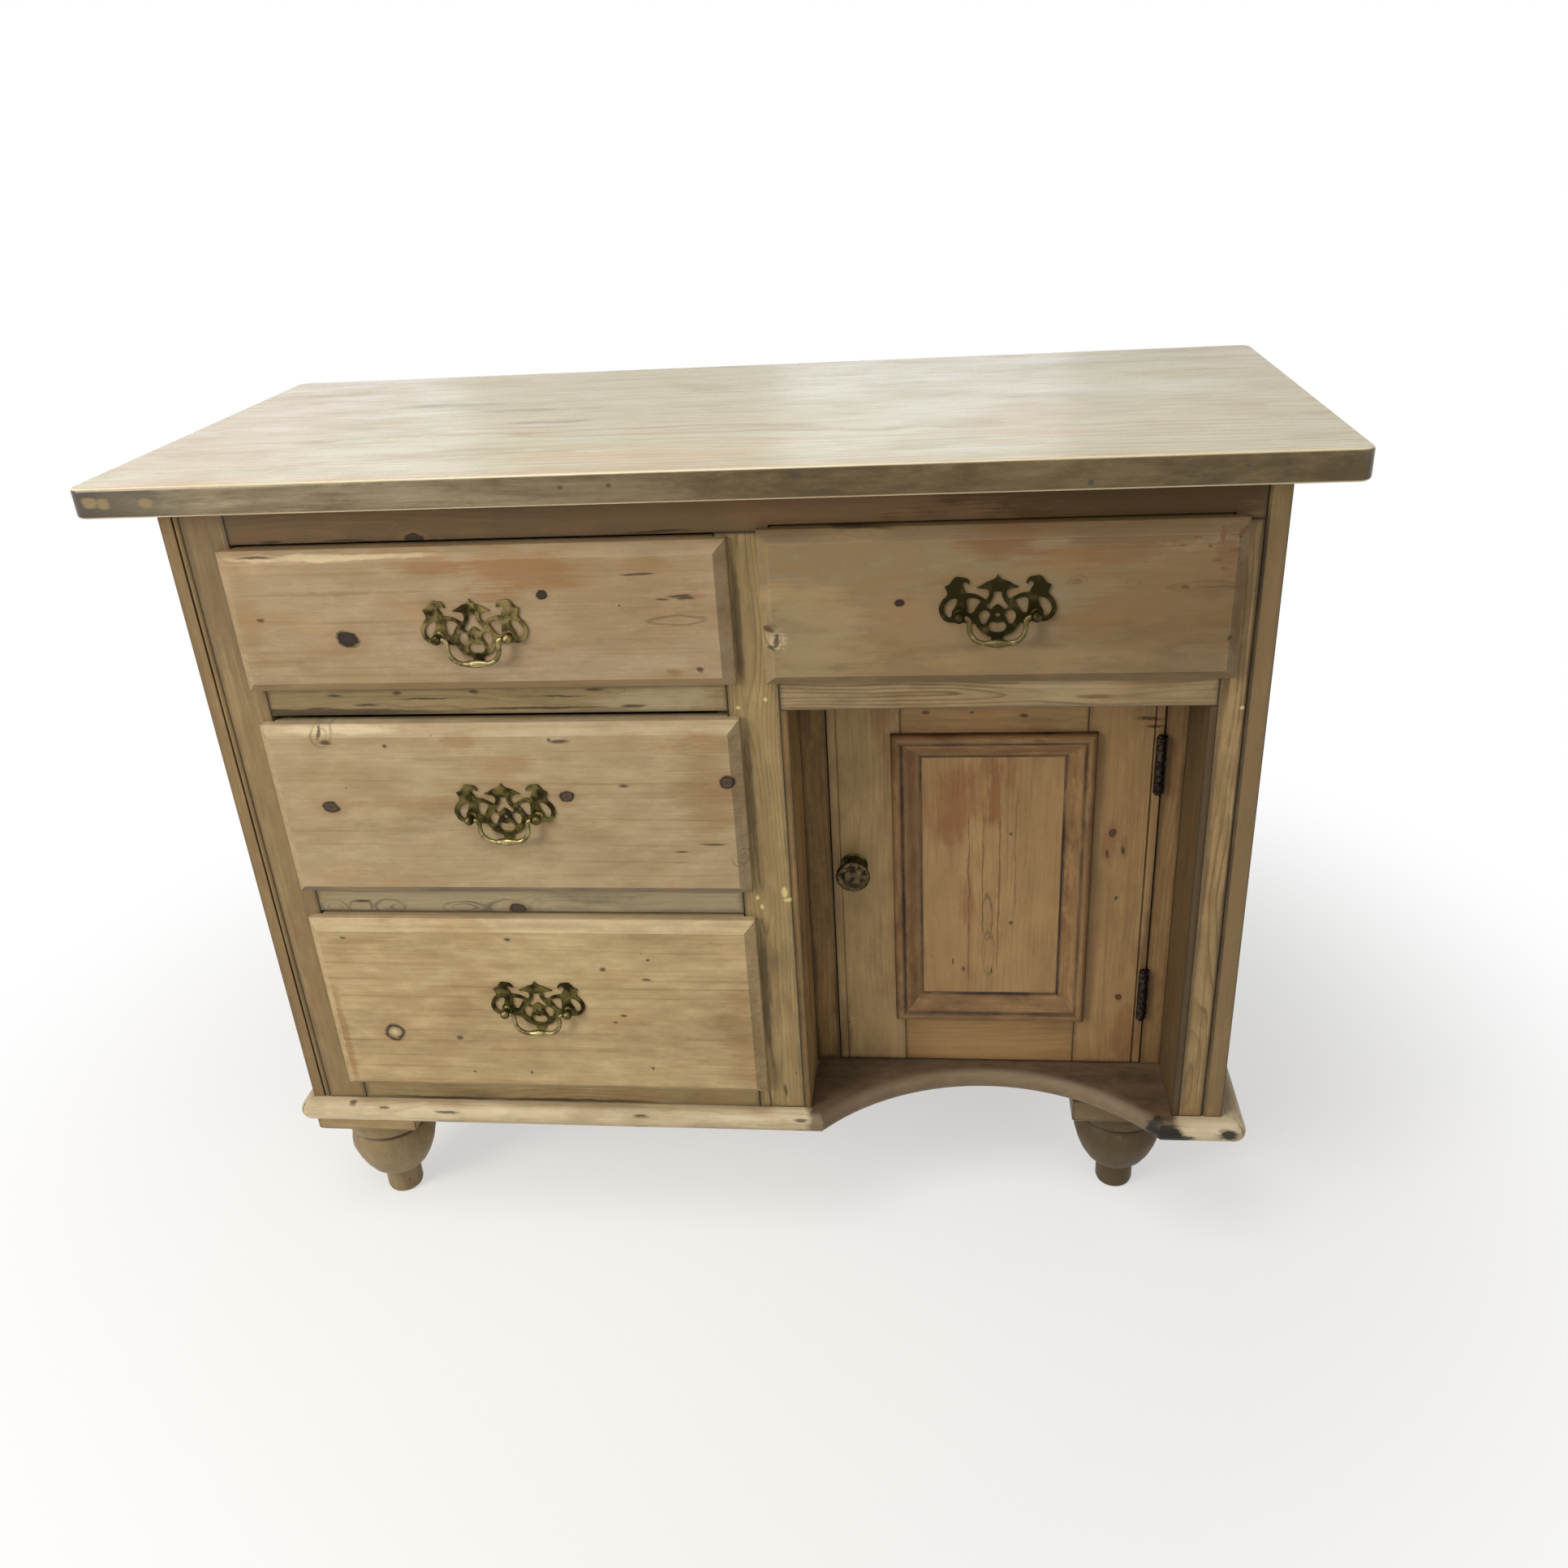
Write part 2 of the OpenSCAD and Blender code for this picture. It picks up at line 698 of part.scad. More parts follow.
module door_stile_right() {
    color(PINE) place()
        difference() {
            box([x_pan1, recess_d, z_door0], [x_door1, y_door1, z_door1]);
            bead_cut(x_door1 - door_bead);
            panel_room();
            leaf_seat(x_door1 - leaf_t, x_door1 + eps);
        }
}

module door_rail_top() {
    color(PINE) place()
        difference() {
            box([x_pan0, recess_d, z_pan1], [x_pan1, y_door1, z_door1]);
            panel_room();
        }
}

module door_rail_bottom() {
    color(PINE) place()
        difference() {
            box([x_pan0, recess_d, z_door0], [x_pan1, y_door1, z_pan0]);
            panel_room();
        }
}

module door_panel() {
    color(PINE) place() panel_room();
}

// Moulding section: outer edge at 0, height above the door's face as y, panel side at mould_w
function mould_section() = let (r = mould_bead, hollow = mould_rise - 0.64 * r, foot = 0.24 * r - panel_set) concat(
    [[0, 0], [0, mould_step]],
    [for (a = [180 : -20 : 40]) [r * (1.1 + cos(a)), mould_rise - r + r * sin(a)]],
    [for (t = [0 : 0.2 : 1]) [
        2.2 * r + (mould_w - 2.6 * r) * t,
        hollow + (foot - hollow) * (t - sin(360 * t) / 12)]],
    [[mould_w, 0.16 * r - panel_set], [mould_w, -panel_set], [mould_lap, -panel_set], [mould_lap, 0]]
);

// One length of moulding along +X, mitred at both ends, outer edge on z = 0
module mould_piece(l) {
    intersection() {
        rotate([90, 0, 90]) linear_extrude(l)
            polygon([for (p = mould_section()) [-p[1], p[0]]]);
        rotate([90, 0, 0]) translate([0, 0, -mould_w]) linear_extrude(2 * mould_w)
            polygon([[0, 0], [l, 0], [l - mould_w, mould_w], [mould_w, mould_w]]);
    }
}

module door_moulding() {
    x0 = x_pan0 - mould_lap;
    x1 = x_pan1 + mould_lap;
    z0 = z_pan0 - mould_lap;
    z1 = z_pan1 + mould_lap;
    color(PINE) place() {
        translate([x0, recess_d, z0]) mould_piece(x1 - x0);
        translate([x1, recess_d, z1]) rotate([0, 180, 0]) mould_piece(x1 - x0);
        translate([x0, recess_d, z1]) rotate([0, 90, 0]) mould_piece(z1 - z0);
        translate([x1, recess_d, z0]) rotate([0, -90, 0]) mould_piece(z1 - z0);
    }
}

module door_hinge_leaves() {
    color(IRON) place() hinge_half(1, x_door1 - leaf_t);
}

// Round plate under the knob
module knob_rose() {
    color(BRASS) place()
        translate([x_knob, recess_d, knob_z]) rotate([90, 0, 0])
            rotate_extrude() polygon([
                [spindle_r + run, 0], [rose_r, 0], [rose_r, rose_t * 0.5],
                [rose_r - 1.5, rose_t], [spindle_r + run, rose_t],
            ]);
}

// Knob: narrow waist, rolled rim and a low dome with a ring round its middle
module door_knob() {
    h0 = rose_t + run;
    h1 = knob_reach;
    color(IRON) place()
        translate([x_knob, recess_d, knob_z]) rotate([90, 0, 0])
            rotate_extrude() polygon(concat(
                [[0, -door_t], [spindle_r, -door_t], [spindle_r, h0], [knob_r * 0.5, h0],
                    [knob_r * 0.46, h0 + 3]],
                [for (a = [0 : 15 : 90]) [knob_r * 0.38 + knob_r * 0.08 * cos(a) + knob_r * 0.5 * (a / 90) * (a / 90),
                    h0 + 3 + (h1 - h0 - 11) * a / 90]],
                [for (a = [-60 : 20 : 80]) [knob_r - 3 + 3 * cos(a), h1 - 5 + 3 * sin(a)]],
                [[knob_r * 0.72, h1 - 2.6]],
                [for (a = [0 : 15 : 90]) [knob_r * 0.62 * cos(a), h1 - 2.6 + 2.6 * sin(a)]]
            ));
}

// Flat turn on the spindle's inner end, stored upright and clear of the jamb
module turn_tongue() {
    color(IRON) place()
        translate([x_knob, y_door1 + 0.5, knob_z]) rotate([-90, 0, 0]) {
            cylinder(r = turn_w / 2, h = turn_t);
            translate([-turn_w / 2, -turn_l + turn_w / 2, 0]) cube([turn_w, turn_l - turn_w / 2, turn_t]);
            translate([0, -turn_l + turn_w / 2, 0]) cylinder(r = turn_w / 2, h = turn_t);
            translate([0, 0, -0.5]) cylinder(r = spindle_r - 0.6, h = 0.6);
        }
}

// Dovetails in the plane of the drawer side: wide end at the front, one copy per tail
function tail_points(h, n, i, l) =
    let (p = h / n, c = p * (i + 0.5), a = p * 0.34, b = p * 0.24)
    [[0, c - a], [0, c + a], [l, c + b], [l, c - b]];

module side_tails(h, n, l) {
    for (i = [0 : n - 1])
        rotate([90, 0, 90]) linear_extrude(drawer_side_t) polygon(tail_points(h, n, i, l));
}

// Inner box sizes of one drawer
function box_x(o, s) = s < 0 ? o[0] + box_side_gap : o[1] - box_side_gap;
function box_z0(o) = o[2] + run;
function box_z1(o) = o[3] - box_top_gap;

module drawer_bottom_room(o) {
    box([box_x(o, -1) + drawer_side_t - bottom_groove, y_box - bottom_groove, box_z0(o) + bottom_up],
        [box_x(o, 1) - drawer_side_t + bottom_groove, y_box + drawer_l, box_z0(o) + bottom_up + drawer_bottom_t]);
}

module drawer_tails(o) {
    tl = y_box - tail_lap;
    for (x = [box_x(o, -1), box_x(o, 1) - drawer_side_t])
        translate([x, y_box - tl, box_z0(o)]) side_tails(box_z1(o) - box_z0(o), o[5], tl);
}

// Drawer front: a flat field inside sloped edges, and a part that fits the opening
module drawer_front(o, hz) {
    x0 = o[0] - front_lap;
    x1 = o[1] + front_lap;
    z0 = o[2] + front_low_gap;
    z1 = o[3] - o[4];
    hx = (o[0] + o[1]) / 2;
    difference() {
        union() {
            intersection() {
                translate([0, 0, z0]) linear_extrude(z1 - z0) polygon([
                    [x0, -run], [x0, -run - front_edge_t], [x0 + bevel_w, y_face],
                    [x1 - bevel_w, y_face], [x1, -run - front_edge_t], [x1, -run],
                ]);
                translate([x0, 0, 0]) rotate([90, 0, 90]) linear_extrude(x1 - x0) polygon([
                    [-run, z0], [-run - front_edge_t, z0], [y_face, z0 + bevel_w],
                    [y_face, z1 - bevel_w], [-run - front_edge_t, z1], [-run, z1],
                ]);
            }
            box([box_x(o, -1), -run - eps, z0], [box_x(o, 1), y_box, z1]);
        }
        drawer_tails(o);
        drawer_bottom_room(o);
        for (s = [-1, 1])
            translate([hx + s * post_span / 2, y_face - 1, hz]) rotate([-90, 0, 0])
                cylinder(r = rod_r + play, h = y_box - y_face + 2, $fn = 32);
    }
}

// Drawer sides with tails and grooves, and the back between them over the bottom
module drawer_box(o) {
    difference() {
        union() {
            for (x = [box_x(o, -1), box_x(o, 1) - drawer_side_t])
                box([x, y_box, box_z0(o)], [x + drawer_side_t, y_box + drawer_l, box_z1(o)]);
            drawer_tails(o);
        }
        drawer_bottom_room(o);
    }
    y_back = y_box + drawer_l - drawer_back_in;
    box([box_x(o, -1) + drawer_side_t, y_back - drawer_back_t, box_z0(o) + bottom_up + drawer_bottom_t],
        [box_x(o, 1) - drawer_side_t, y_back, box_z1(o) - drawer_back_low]);
}

module drawer_bottom(o) {
    drawer_bottom_room(o);
}

// Smooth closed curve through a loop of points; a point given twice stays sharp
function bend(a, b, c, d, t) = b + (c - a) * t / 2 + (2 * a - 5 * b + 4 * c - d) * t * t / 2
    + (3 * b - 3 * c + d - a) * t * t * t / 2;
function smooth(p, n = 3) = let (m = len(p)) [
    for (i = [0 : m - 1]) if (p[i] != p[(i + 1) % m])
        for (j = [0 : n - 1]) bend(p[(i + m - 1) % m], p[i], p[(i + 1) % m], p[(i + 2) % m], j / n)
];
function flip(p) = [for (i = [len(p) - 1 : -1 : 0]) [-p[i][0], p[i][1]]];
// Loop that is alike on both sides: a right half from its top point on the axis to its foot
function both(p) = concat(p, flip([for (q = p) if (q[0] > 0) q]));

// Right half of the plate's edge about the handle's centre, for posts 32 to each side
plate_edge = both([
    // finial and its spread wing
    [0, 34], [0, 34], [1.8, 30.8], [5, 29], [9, 27.6], [12.6, 25.2], [17.4, 23], [17.4, 23],
    [12, 22], [8.4, 21.2],
    // neck, and the thin arm out to the stem
    [7, 18], [7.8, 14.4], [9.8, 12], [9.8, 12], [13.6, 14.8], [18.4, 17.2], [23, 18],
    // crest's inner side and its hook
    [26, 18], [26, 18], [27.6, 22], [29.4, 25.4], [27.8, 28], [25.4, 27.6], [23.2, 25.4], [23.2, 25.4],
    [23.6, 28.8], [26.4, 31.4], [30, 32], [34.4, 32.4],
    // crest's outer leaf and its spur
    [37.4, 29.6], [39.6, 26.2], [43.6, 24.4], [43.6, 24.4], [41.8, 20.4], [41.6, 16.8],
    // outer scroll, round under the boss
    [45.8, 12], [48.5, 5], [46.6, -2], [42, -6.2], [36.4, -7.2], [30, -7],
    // tie to the ring, the ring's foot and the pendant
    [23, -8], [18.4, -8.6], [16.4, -11.8], [12.8, -16], [8, -18.8], [4.6, -20.6], [4.8, -23.4],
    [2.4, -26], [0, -28.6], [0, -28.6],
]);
// Openings on the right: the scroll's, the teardrop under the arm, and the ring's side oval
plate_side_holes = [
    [[33.2, 13.4], [37.2, 13.8], [41.4, 11.2], [44.6, 5.4], [43.2, -0.4], [40.4, -3], [38, -1.4],
        [37.4, 2.4], [34.8, 7]],
    [[13.8, 11], [17.6, 13.6], [21.6, 14.4], [25, 13], [25.2, 6.6], [24, 1], [20.8, 0.6], [18.2, 4], [16, 8]],
    [[10.4, 3.6], [14.2, 1.6], [15.4, -2.4], [14, -6.8], [11.4, -9.6], [9, -8], [7.6, -4.6], [6, -1.6], [7.2, 1.8]],
];
// Openings on the axis: the tall throat between the necks, and the ring's foot
plate_mid_holes = [
    both([[0, 19.4], [3.2, 19.2], [3.6, 15.4], [5.8, 10.8], [8.8, 6.8], [8, 4.4], [5.4, 3.8], [3.4, 5.8], [0, 8.2]]),
    both([[0, -8.2], [3.6, -6.8], [6.2, -8], [7.6, -11.2], [6.2, -14.6], [3.4, -16.2], [0, -16.4]]),
];
plate_loops = concat([plate_edge], plate_mid_holes, plate_side_holes, [for (h = plate_side_holes) flip(h)]);
ps = post_span / 2;

function loop_start(l, i) = i == 0 ? 0 : loop_start(l, i - 1) + len(l[i - 1]);

// The plate's outline drawn wider or narrower with its posts
module plate_outline() {
    loops = [for (l = plate_loops) [for (p = smooth(l)) [p[0] * ps / 32, p[1]]]];
    polygon([for (l = loops) each l],
        [for (i = [0 : len(loops) - 1]) [for (j = [0 : len(loops[i]) - 1]) loop_start(loops, i) + j]]);
}

module handle_plate(o, hz) {
    translate([(o[0] + o[1]) / 2, y_face, hz]) rotate([90, 0, 0])
        difference() {
            linear_extrude(plate_t) plate_outline();
            translate([0, -1, -1]) cylinder(r = 2.2, h = plate_t + 2, $fn = 32);
            for (x = [-ps, ps])
                translate([x, 0, -1]) cylinder(r = rod_r + play, h = plate_t + 2, $fn = 32);
        }
}

// Post: a flange on the plate, a shank, a round head bored for the bail, and a rod with its nut
module handle_posts(o, hz) {
    rod_end = y_box + 6;
    for (s = [-1, 1])
        translate([(o[0] + o[1]) / 2 + s * ps, 0, hz]) {
            difference() {
                union() {
                    translate([0, y_face - plate_t, 0]) rotate([90, 0, 0])
                        rotate_extrude($fn = 48) polygon([[0, 0], [5, 0], [5, 0.8], [3.6, 2],
                            [post_shank_r, 3], [post_shank_r, post_reach], [0, post_reach]]);
                    translate([0, y_pivot, 0]) sphere(r = post_head_r, $fn = 48);
                    translate([0, y_face - plate_t - eps, 0]) rotate([-90, 0, 0])
                        cylinder(r = rod_r, h = rod_end - y_face + plate_t + eps, $fn = 32);
                }
                translate([-s * (post_head_r + 1), y_pivot, 0]) rotate([0, s * 90, 0])
                    cylinder(r = bail_pin_r + play, h = 1 + bail_pin_l + run, $fn = 32);
            }
            translate([0, y_box, 0]) rotate([-90, 0, 0]) difference() {
                cylinder(r = 5.5, h = 3, $fn = 6);
                translate([0, 0, -eps]) cylinder(r = rod_r, h = 3 + 2 * eps, $fn = 32);
            }
        }
}

// Swan-neck bail: pins, turned-down necks, wide corners and a grip that swells in the middle
module bail(o, hz) {
    x_start = ps - post_head_r - run;
    neck_turn = 4;
    x_arm = x_start - neck_turn;
    z_corner = -bail_drop + bail_corner_r;
    x_grip = x_arm - bail_corner_r;
    translate([(o[0] + o[1]) / 2, y_pivot, hz]) {
        for (s = [0, 1]) mirror([s, 0, 0]) {
            translate([x_start - 0.5, 0, 0]) rotate([0, 90, 0])
                cylinder(r = bail_pin_r, h = 0.5 + run + bail_pin_l, $fn = 32);
            translate([x_start, 0, -neck_turn]) rotate([90, 0, 0]) rotate([0, 0, 90])
                rotate_extrude(angle = 90, $fn = 64) translate([neck_turn, 0]) circle(r = bail_neck_r, $fn = 32);
            translate([x_arm, 0, z_corner]) cylinder(r = bail_neck_r, h = -neck_turn - z_corner, $fn = 32);
            translate([x_grip, 0, z_corner]) rotate([90, 0, 0]) rotate([0, 0, -90])
                rotate_extrude(angle = 90, $fn = 96) translate([bail_corner_r, 0]) circle(r = bail_neck_r, $fn = 32);
        }
        translate([0, 0, -bail_drop]) rotate([0, 90, 0]) rotate_extrude($fn = 48)
            polygon(concat(
                [[0, -x_grip]],
                [for (t = [-1 : 0.125 : 1]) [
                    bail_neck_r + (bail_grip_r - bail_neck_r) * cos(90 * t), t * x_grip]],
                [[0, x_grip]]
            ));
    }
}

module d_front(i) { color(PINE) place() drawer_front(OPENINGS[i], HANDLE_Z[i]); }
module d_box(i) { color(PINE_DARK) place() drawer_box(OPENINGS[i]); }
module d_bottom(i) { color(PINE_DARK) place() drawer_bottom(OPENINGS[i]); }
module d_plate(i) { color(BRASS) place() handle_plate(OPENINGS[i], HANDLE_Z[i]); }
module d_posts(i) { color(BRASS) place() handle_posts(OPENINGS[i], HANDLE_Z[i]); }
module d_bail(i) { color(BRASS) place() bail(OPENINGS[i], HANDLE_Z[i]); }

top_board();
side_left();
side_right();
stile_left();
stile_middle();
stile_right();
top_rail();
drawer_rails();
cupboard_rail();
partition();
cheek_left();
cheek_right();
jamb_strip();
hinge_stile();
recess_soffit();
bottom_boards();
door_stop();
base_front();
base_returns();
base_back();
foot_blocks();
feet();
back_boards();
drawer_runners();
hinge_fixed_leaves();
hinge_pins();
door_stile_left();
door_stile_right();
door_rail_top();
door_rail_bottom();
door_panel();
door_moulding();
door_hinge_leaves();
knob_rose();
door_knob();
turn_tongue();
d_front(0);  // drawer_low_front
d_box(0);  // drawer_low_box
d_bottom(0);  // drawer_low_bottom
d_plate(0);  // drawer_low_plate
d_posts(0);  // drawer_low_posts
d_bail(0);  // drawer_low_bail
d_front(1);  // drawer_mid_front
d_box(1);  // drawer_mid_box
d_bottom(1);  // drawer_mid_bottom
d_plate(1);  // drawer_mid_plate
d_posts(1);  // drawer_mid_posts
d_bail(1);  // drawer_mid_bail
d_front(2);  // drawer_top_front
d_box(2);  // drawer_top_box
d_bottom(2);  // drawer_top_bottom
d_plate(2);  // drawer_top_plate
d_posts(2);  // drawer_top_posts
d_bail(2);  // drawer_top_bail
d_front(3);  // drawer_right_front
d_box(3);  // drawer_right_box
d_bottom(3);  // drawer_right_bottom
d_plate(3);  // drawer_right_plate
d_posts(3);  // drawer_right_posts
d_bail(3);  // drawer_right_bail
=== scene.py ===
import json
import math
from functools import partial

import bmesh
import bpy
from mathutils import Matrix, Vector, noise

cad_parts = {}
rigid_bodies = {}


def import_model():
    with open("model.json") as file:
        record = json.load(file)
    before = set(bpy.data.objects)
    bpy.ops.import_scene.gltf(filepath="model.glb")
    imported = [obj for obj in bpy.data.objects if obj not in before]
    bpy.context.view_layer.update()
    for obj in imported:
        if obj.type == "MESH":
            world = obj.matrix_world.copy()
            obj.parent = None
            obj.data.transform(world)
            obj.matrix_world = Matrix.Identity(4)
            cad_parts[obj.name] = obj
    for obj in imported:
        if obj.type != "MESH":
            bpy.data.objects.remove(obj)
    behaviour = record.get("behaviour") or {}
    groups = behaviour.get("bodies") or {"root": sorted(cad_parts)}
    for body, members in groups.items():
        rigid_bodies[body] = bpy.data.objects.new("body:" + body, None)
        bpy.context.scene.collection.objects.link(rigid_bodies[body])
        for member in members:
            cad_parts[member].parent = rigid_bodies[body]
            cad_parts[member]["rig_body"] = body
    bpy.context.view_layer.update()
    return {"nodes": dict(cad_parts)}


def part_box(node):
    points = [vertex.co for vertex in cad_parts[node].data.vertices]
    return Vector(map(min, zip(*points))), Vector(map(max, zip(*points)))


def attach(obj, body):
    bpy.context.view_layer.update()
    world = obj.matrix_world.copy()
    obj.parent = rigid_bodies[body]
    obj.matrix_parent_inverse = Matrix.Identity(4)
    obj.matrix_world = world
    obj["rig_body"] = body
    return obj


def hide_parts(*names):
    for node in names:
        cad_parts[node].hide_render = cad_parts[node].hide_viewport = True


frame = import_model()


# Viewpoint
# A standing person looks down on the washstand from a step in front of its right half.
camera = bpy.data.cameras.new("camera")
camera.sensor_width = 36
camera.lens = 30.75
viewer = bpy.data.objects.new("camera", camera)
viewer.location = (0.2029, -1.29695, 1.1107)
viewer.rotation_euler = [math.radians(a) for a in (63.2037, 3.2411, 5.7944)]
bpy.context.scene.collection.objects.link(viewer)
bpy.context.scene.camera = viewer
bpy.context.scene.view_settings.view_transform = "Standard"


# Floor and light
# A painted pale floor. Daylight comes from a broad window at the front left, a little from
# overhead and the right, and from two windows behind that give the waxed top its sheen.
def linear(code):
    """A colour as a shader wants it, from its sRGB hex value."""
    parts = [int(code[i:i + 2], 16) / 255 for i in (1, 3, 5)]
    return [p / 12.92 if p <= 0.04045 else ((p + 0.055) / 1.055) ** 2.4 for p in parts] + [1]


def add(tree, kind, *inputs, out=0, named={}, **settings):
    """Adds a node. An input is another node's output, a plain value, or None to leave as it is."""
    made = tree.nodes.new("ShaderNode" + kind)
    for key, value in settings.items():
        setattr(made, key, value)
    for key, value in [*enumerate(inputs), *named.items()]:
        if isinstance(value, bpy.types.NodeSocket):
            tree.links.new(value, made.inputs[key])
        elif value is not None:
            made.inputs[key].default_value = value
    return made.outputs[out]


def looked_at(tree):
    """1 where the eye meets a surface, also mirrored or through glass, and 0 for its light."""
    rays = tree.nodes.new("ShaderNodeLightPath").outputs
    mirrored = add(tree, "Math", rays["Is Glossy Ray"], rays["Is Transmission Ray"], operation="MAXIMUM")
    return add(tree, "Math", rays["Is Camera Ray"], mirrored, operation="MAXIMUM")


def lamp(name, place, aim, size, power, colour):
    """A soft lamp, unseen by the camera. Its place, aim and size are in metres, its power in watts."""
    light = bpy.data.lights.new(name, "AREA")
    light.shape = "RECTANGLE"
    light.size, light.size_y = size
    light.energy = power
    light.color = linear(colour)[:3]
    holder = bpy.data.objects.new(name, light)
    holder.location = place
    holder.rotation_euler = (Vector(aim) - Vector(place)).to_track_quat("-Z", "Y").to_euler()
    holder.visible_camera = False
    bpy.context.scene.collection.objects.link(holder)


lamp("main_window", (-1.85, -1.75, 1.5), (-0.05, -0.1, 0.4), (0.9, 1.1), 40, "#FFF9EE")
lamp("side_lamp", (2.3, -1.9, 1.3), (0.1, 0, 0.45), (1.6, 1.6), 10, "#FFF6EA")
lamp("top_lamp", (-0.4, -1.0, 2.6), (-0.1, -0.1, 0.5), (1.2, 1.2), 26, "#FBFAFF")
lamp("back_window_left", (-2.0, 3.0, 1.6), (-0.4, 0, 0.85), (1.3, 1.0), 2.6, "#E6F0FF")
lamp("back_window_right", (0.15, 3.0, 1.6), (0.1, 0, 0.85), (0.9, 1.0), 2.0, "#E6F0FF")

# Walls that give a dim light and look plain white
PLAIN_WHITE = (1, 1, 1, 1)
room = bpy.data.worlds.new("room")
bpy.context.scene.world = room
room.use_nodes = True
tree = room.node_tree
node = partial(add, tree)
sky = node("MixShader", looked_at(tree), node("Background", linear("#ECECEA"), 0.3),
           node("Background", PLAIN_WHITE, 1.0))
tree.links.new(sky, tree.nodes["World Output"].inputs[0])

FLOOR_RADIUS = 7
floor_mesh = bpy.data.meshes.new("floor")
bm = bmesh.new()
bmesh.ops.create_circle(bm, cap_ends=True, segments=96, radius=FLOOR_RADIUS)
bm.to_mesh(floor_mesh)
floor = bpy.data.objects.new("floor", floor_mesh)
bpy.context.scene.collection.objects.link(floor)

# Painted concrete, matt. To the eye it is plain white away from the piece, and up to
# SHADOW_NEAR metres from its middle the shadow shows, softened by half
SHADOW_NEAR, SHADOW_FAR, SOFTENED = 0.55, 1.25, 0.55
paint = bpy.data.materials.new("painted_floor")
paint.use_nodes = True
tree = paint.node_tree
node = partial(add, tree)
distance = node("VectorMath", node("TexCoord", out=3), operation="LENGTH", out=1)
away = node("MapRange", distance, SHADOW_NEAR, SHADOW_FAR, SOFTENED, 1.0, interpolation_type="SMOOTHSTEP")
shown = node("MixShader", node("Math", away, looked_at(tree), operation="MULTIPLY"),
             node("BsdfDiffuse", linear("#F3F1EC")), node("Emission", PLAIN_WHITE, 1.0))
tree.links.new(shown, tree.nodes["Material Output"].inputs[0])
floor_mesh.materials.append(paint)


# Side boards
# Two broad upright boards of pine, planed and waxed. The left one has a round bead worked on
# its front inner corner between two sunk lines, the right one a single sunk line.
MM = 1000  # Millimetres in a metre
NEXT_BOARD = 5000  # Marks on each further board of a node stand this many mm farther along
TREE_STEP = 977.0  # Each board's grain is taken this many mm farther along one long tree
NO_RIM = 1000.0  # Half a turned piece's size in mm as its material takes it, so that no edge shows
WOOD_FACTS = ("grain", "place", "half", "spot")  # What a board's points tell its material


def copied(name, weld, flat):
    """A CAD piece's mesh. Points within weld metres are joined, and faces within flat degrees."""
    bm = bmesh.new()
    bm.from_mesh(frame["nodes"][name].data)
    bmesh.ops.remove_doubles(bm, verts=bm.verts, dist=weld)
    bmesh.ops.dissolve_limit(bm, angle_limit=math.radians(flat), verts=bm.verts, edges=bm.edges)
    return bm


def rub(bm, ease, sharp):
    """Rounds the arrises sharper than sharp degrees over ease mm, and gives their new faces."""
    folds = [edge for edge in bm.edges if len(edge.link_faces) == 2]
    arrises = [edge for edge in folds if edge.calc_face_angle() > math.radians(sharp)]
    cut = bmesh.ops.bevel(bm, geom=arrises, offset=ease / MM, offset_type="OFFSET", segments=2,
                          profile=0.5, affect="EDGES", clamp_overlap=True)
    return cut["faces"]


def boards_of(bm):
    """The separate boards in a mesh, as lists of points: the lowest first, then from the left."""
    bm.verts.ensure_lookup_table()
    found, met = [], set()
    for start in bm.verts:
        if start.index in met:
            continue
        met.add(start.index)
        group, queue = [], [start]
        while queue:
            vert = queue.pop()
            group.append(vert)
            for edge in vert.link_edges:
                other = edge.other_vert(vert)
                if other.index not in met:
                    met.add(other.index)
                    queue.append(other)
        found.append(group)
    return sorted(found, key=lambda group: [round(min(v.co[i] for v in group) * MM) for i in (2, 0, 1)])


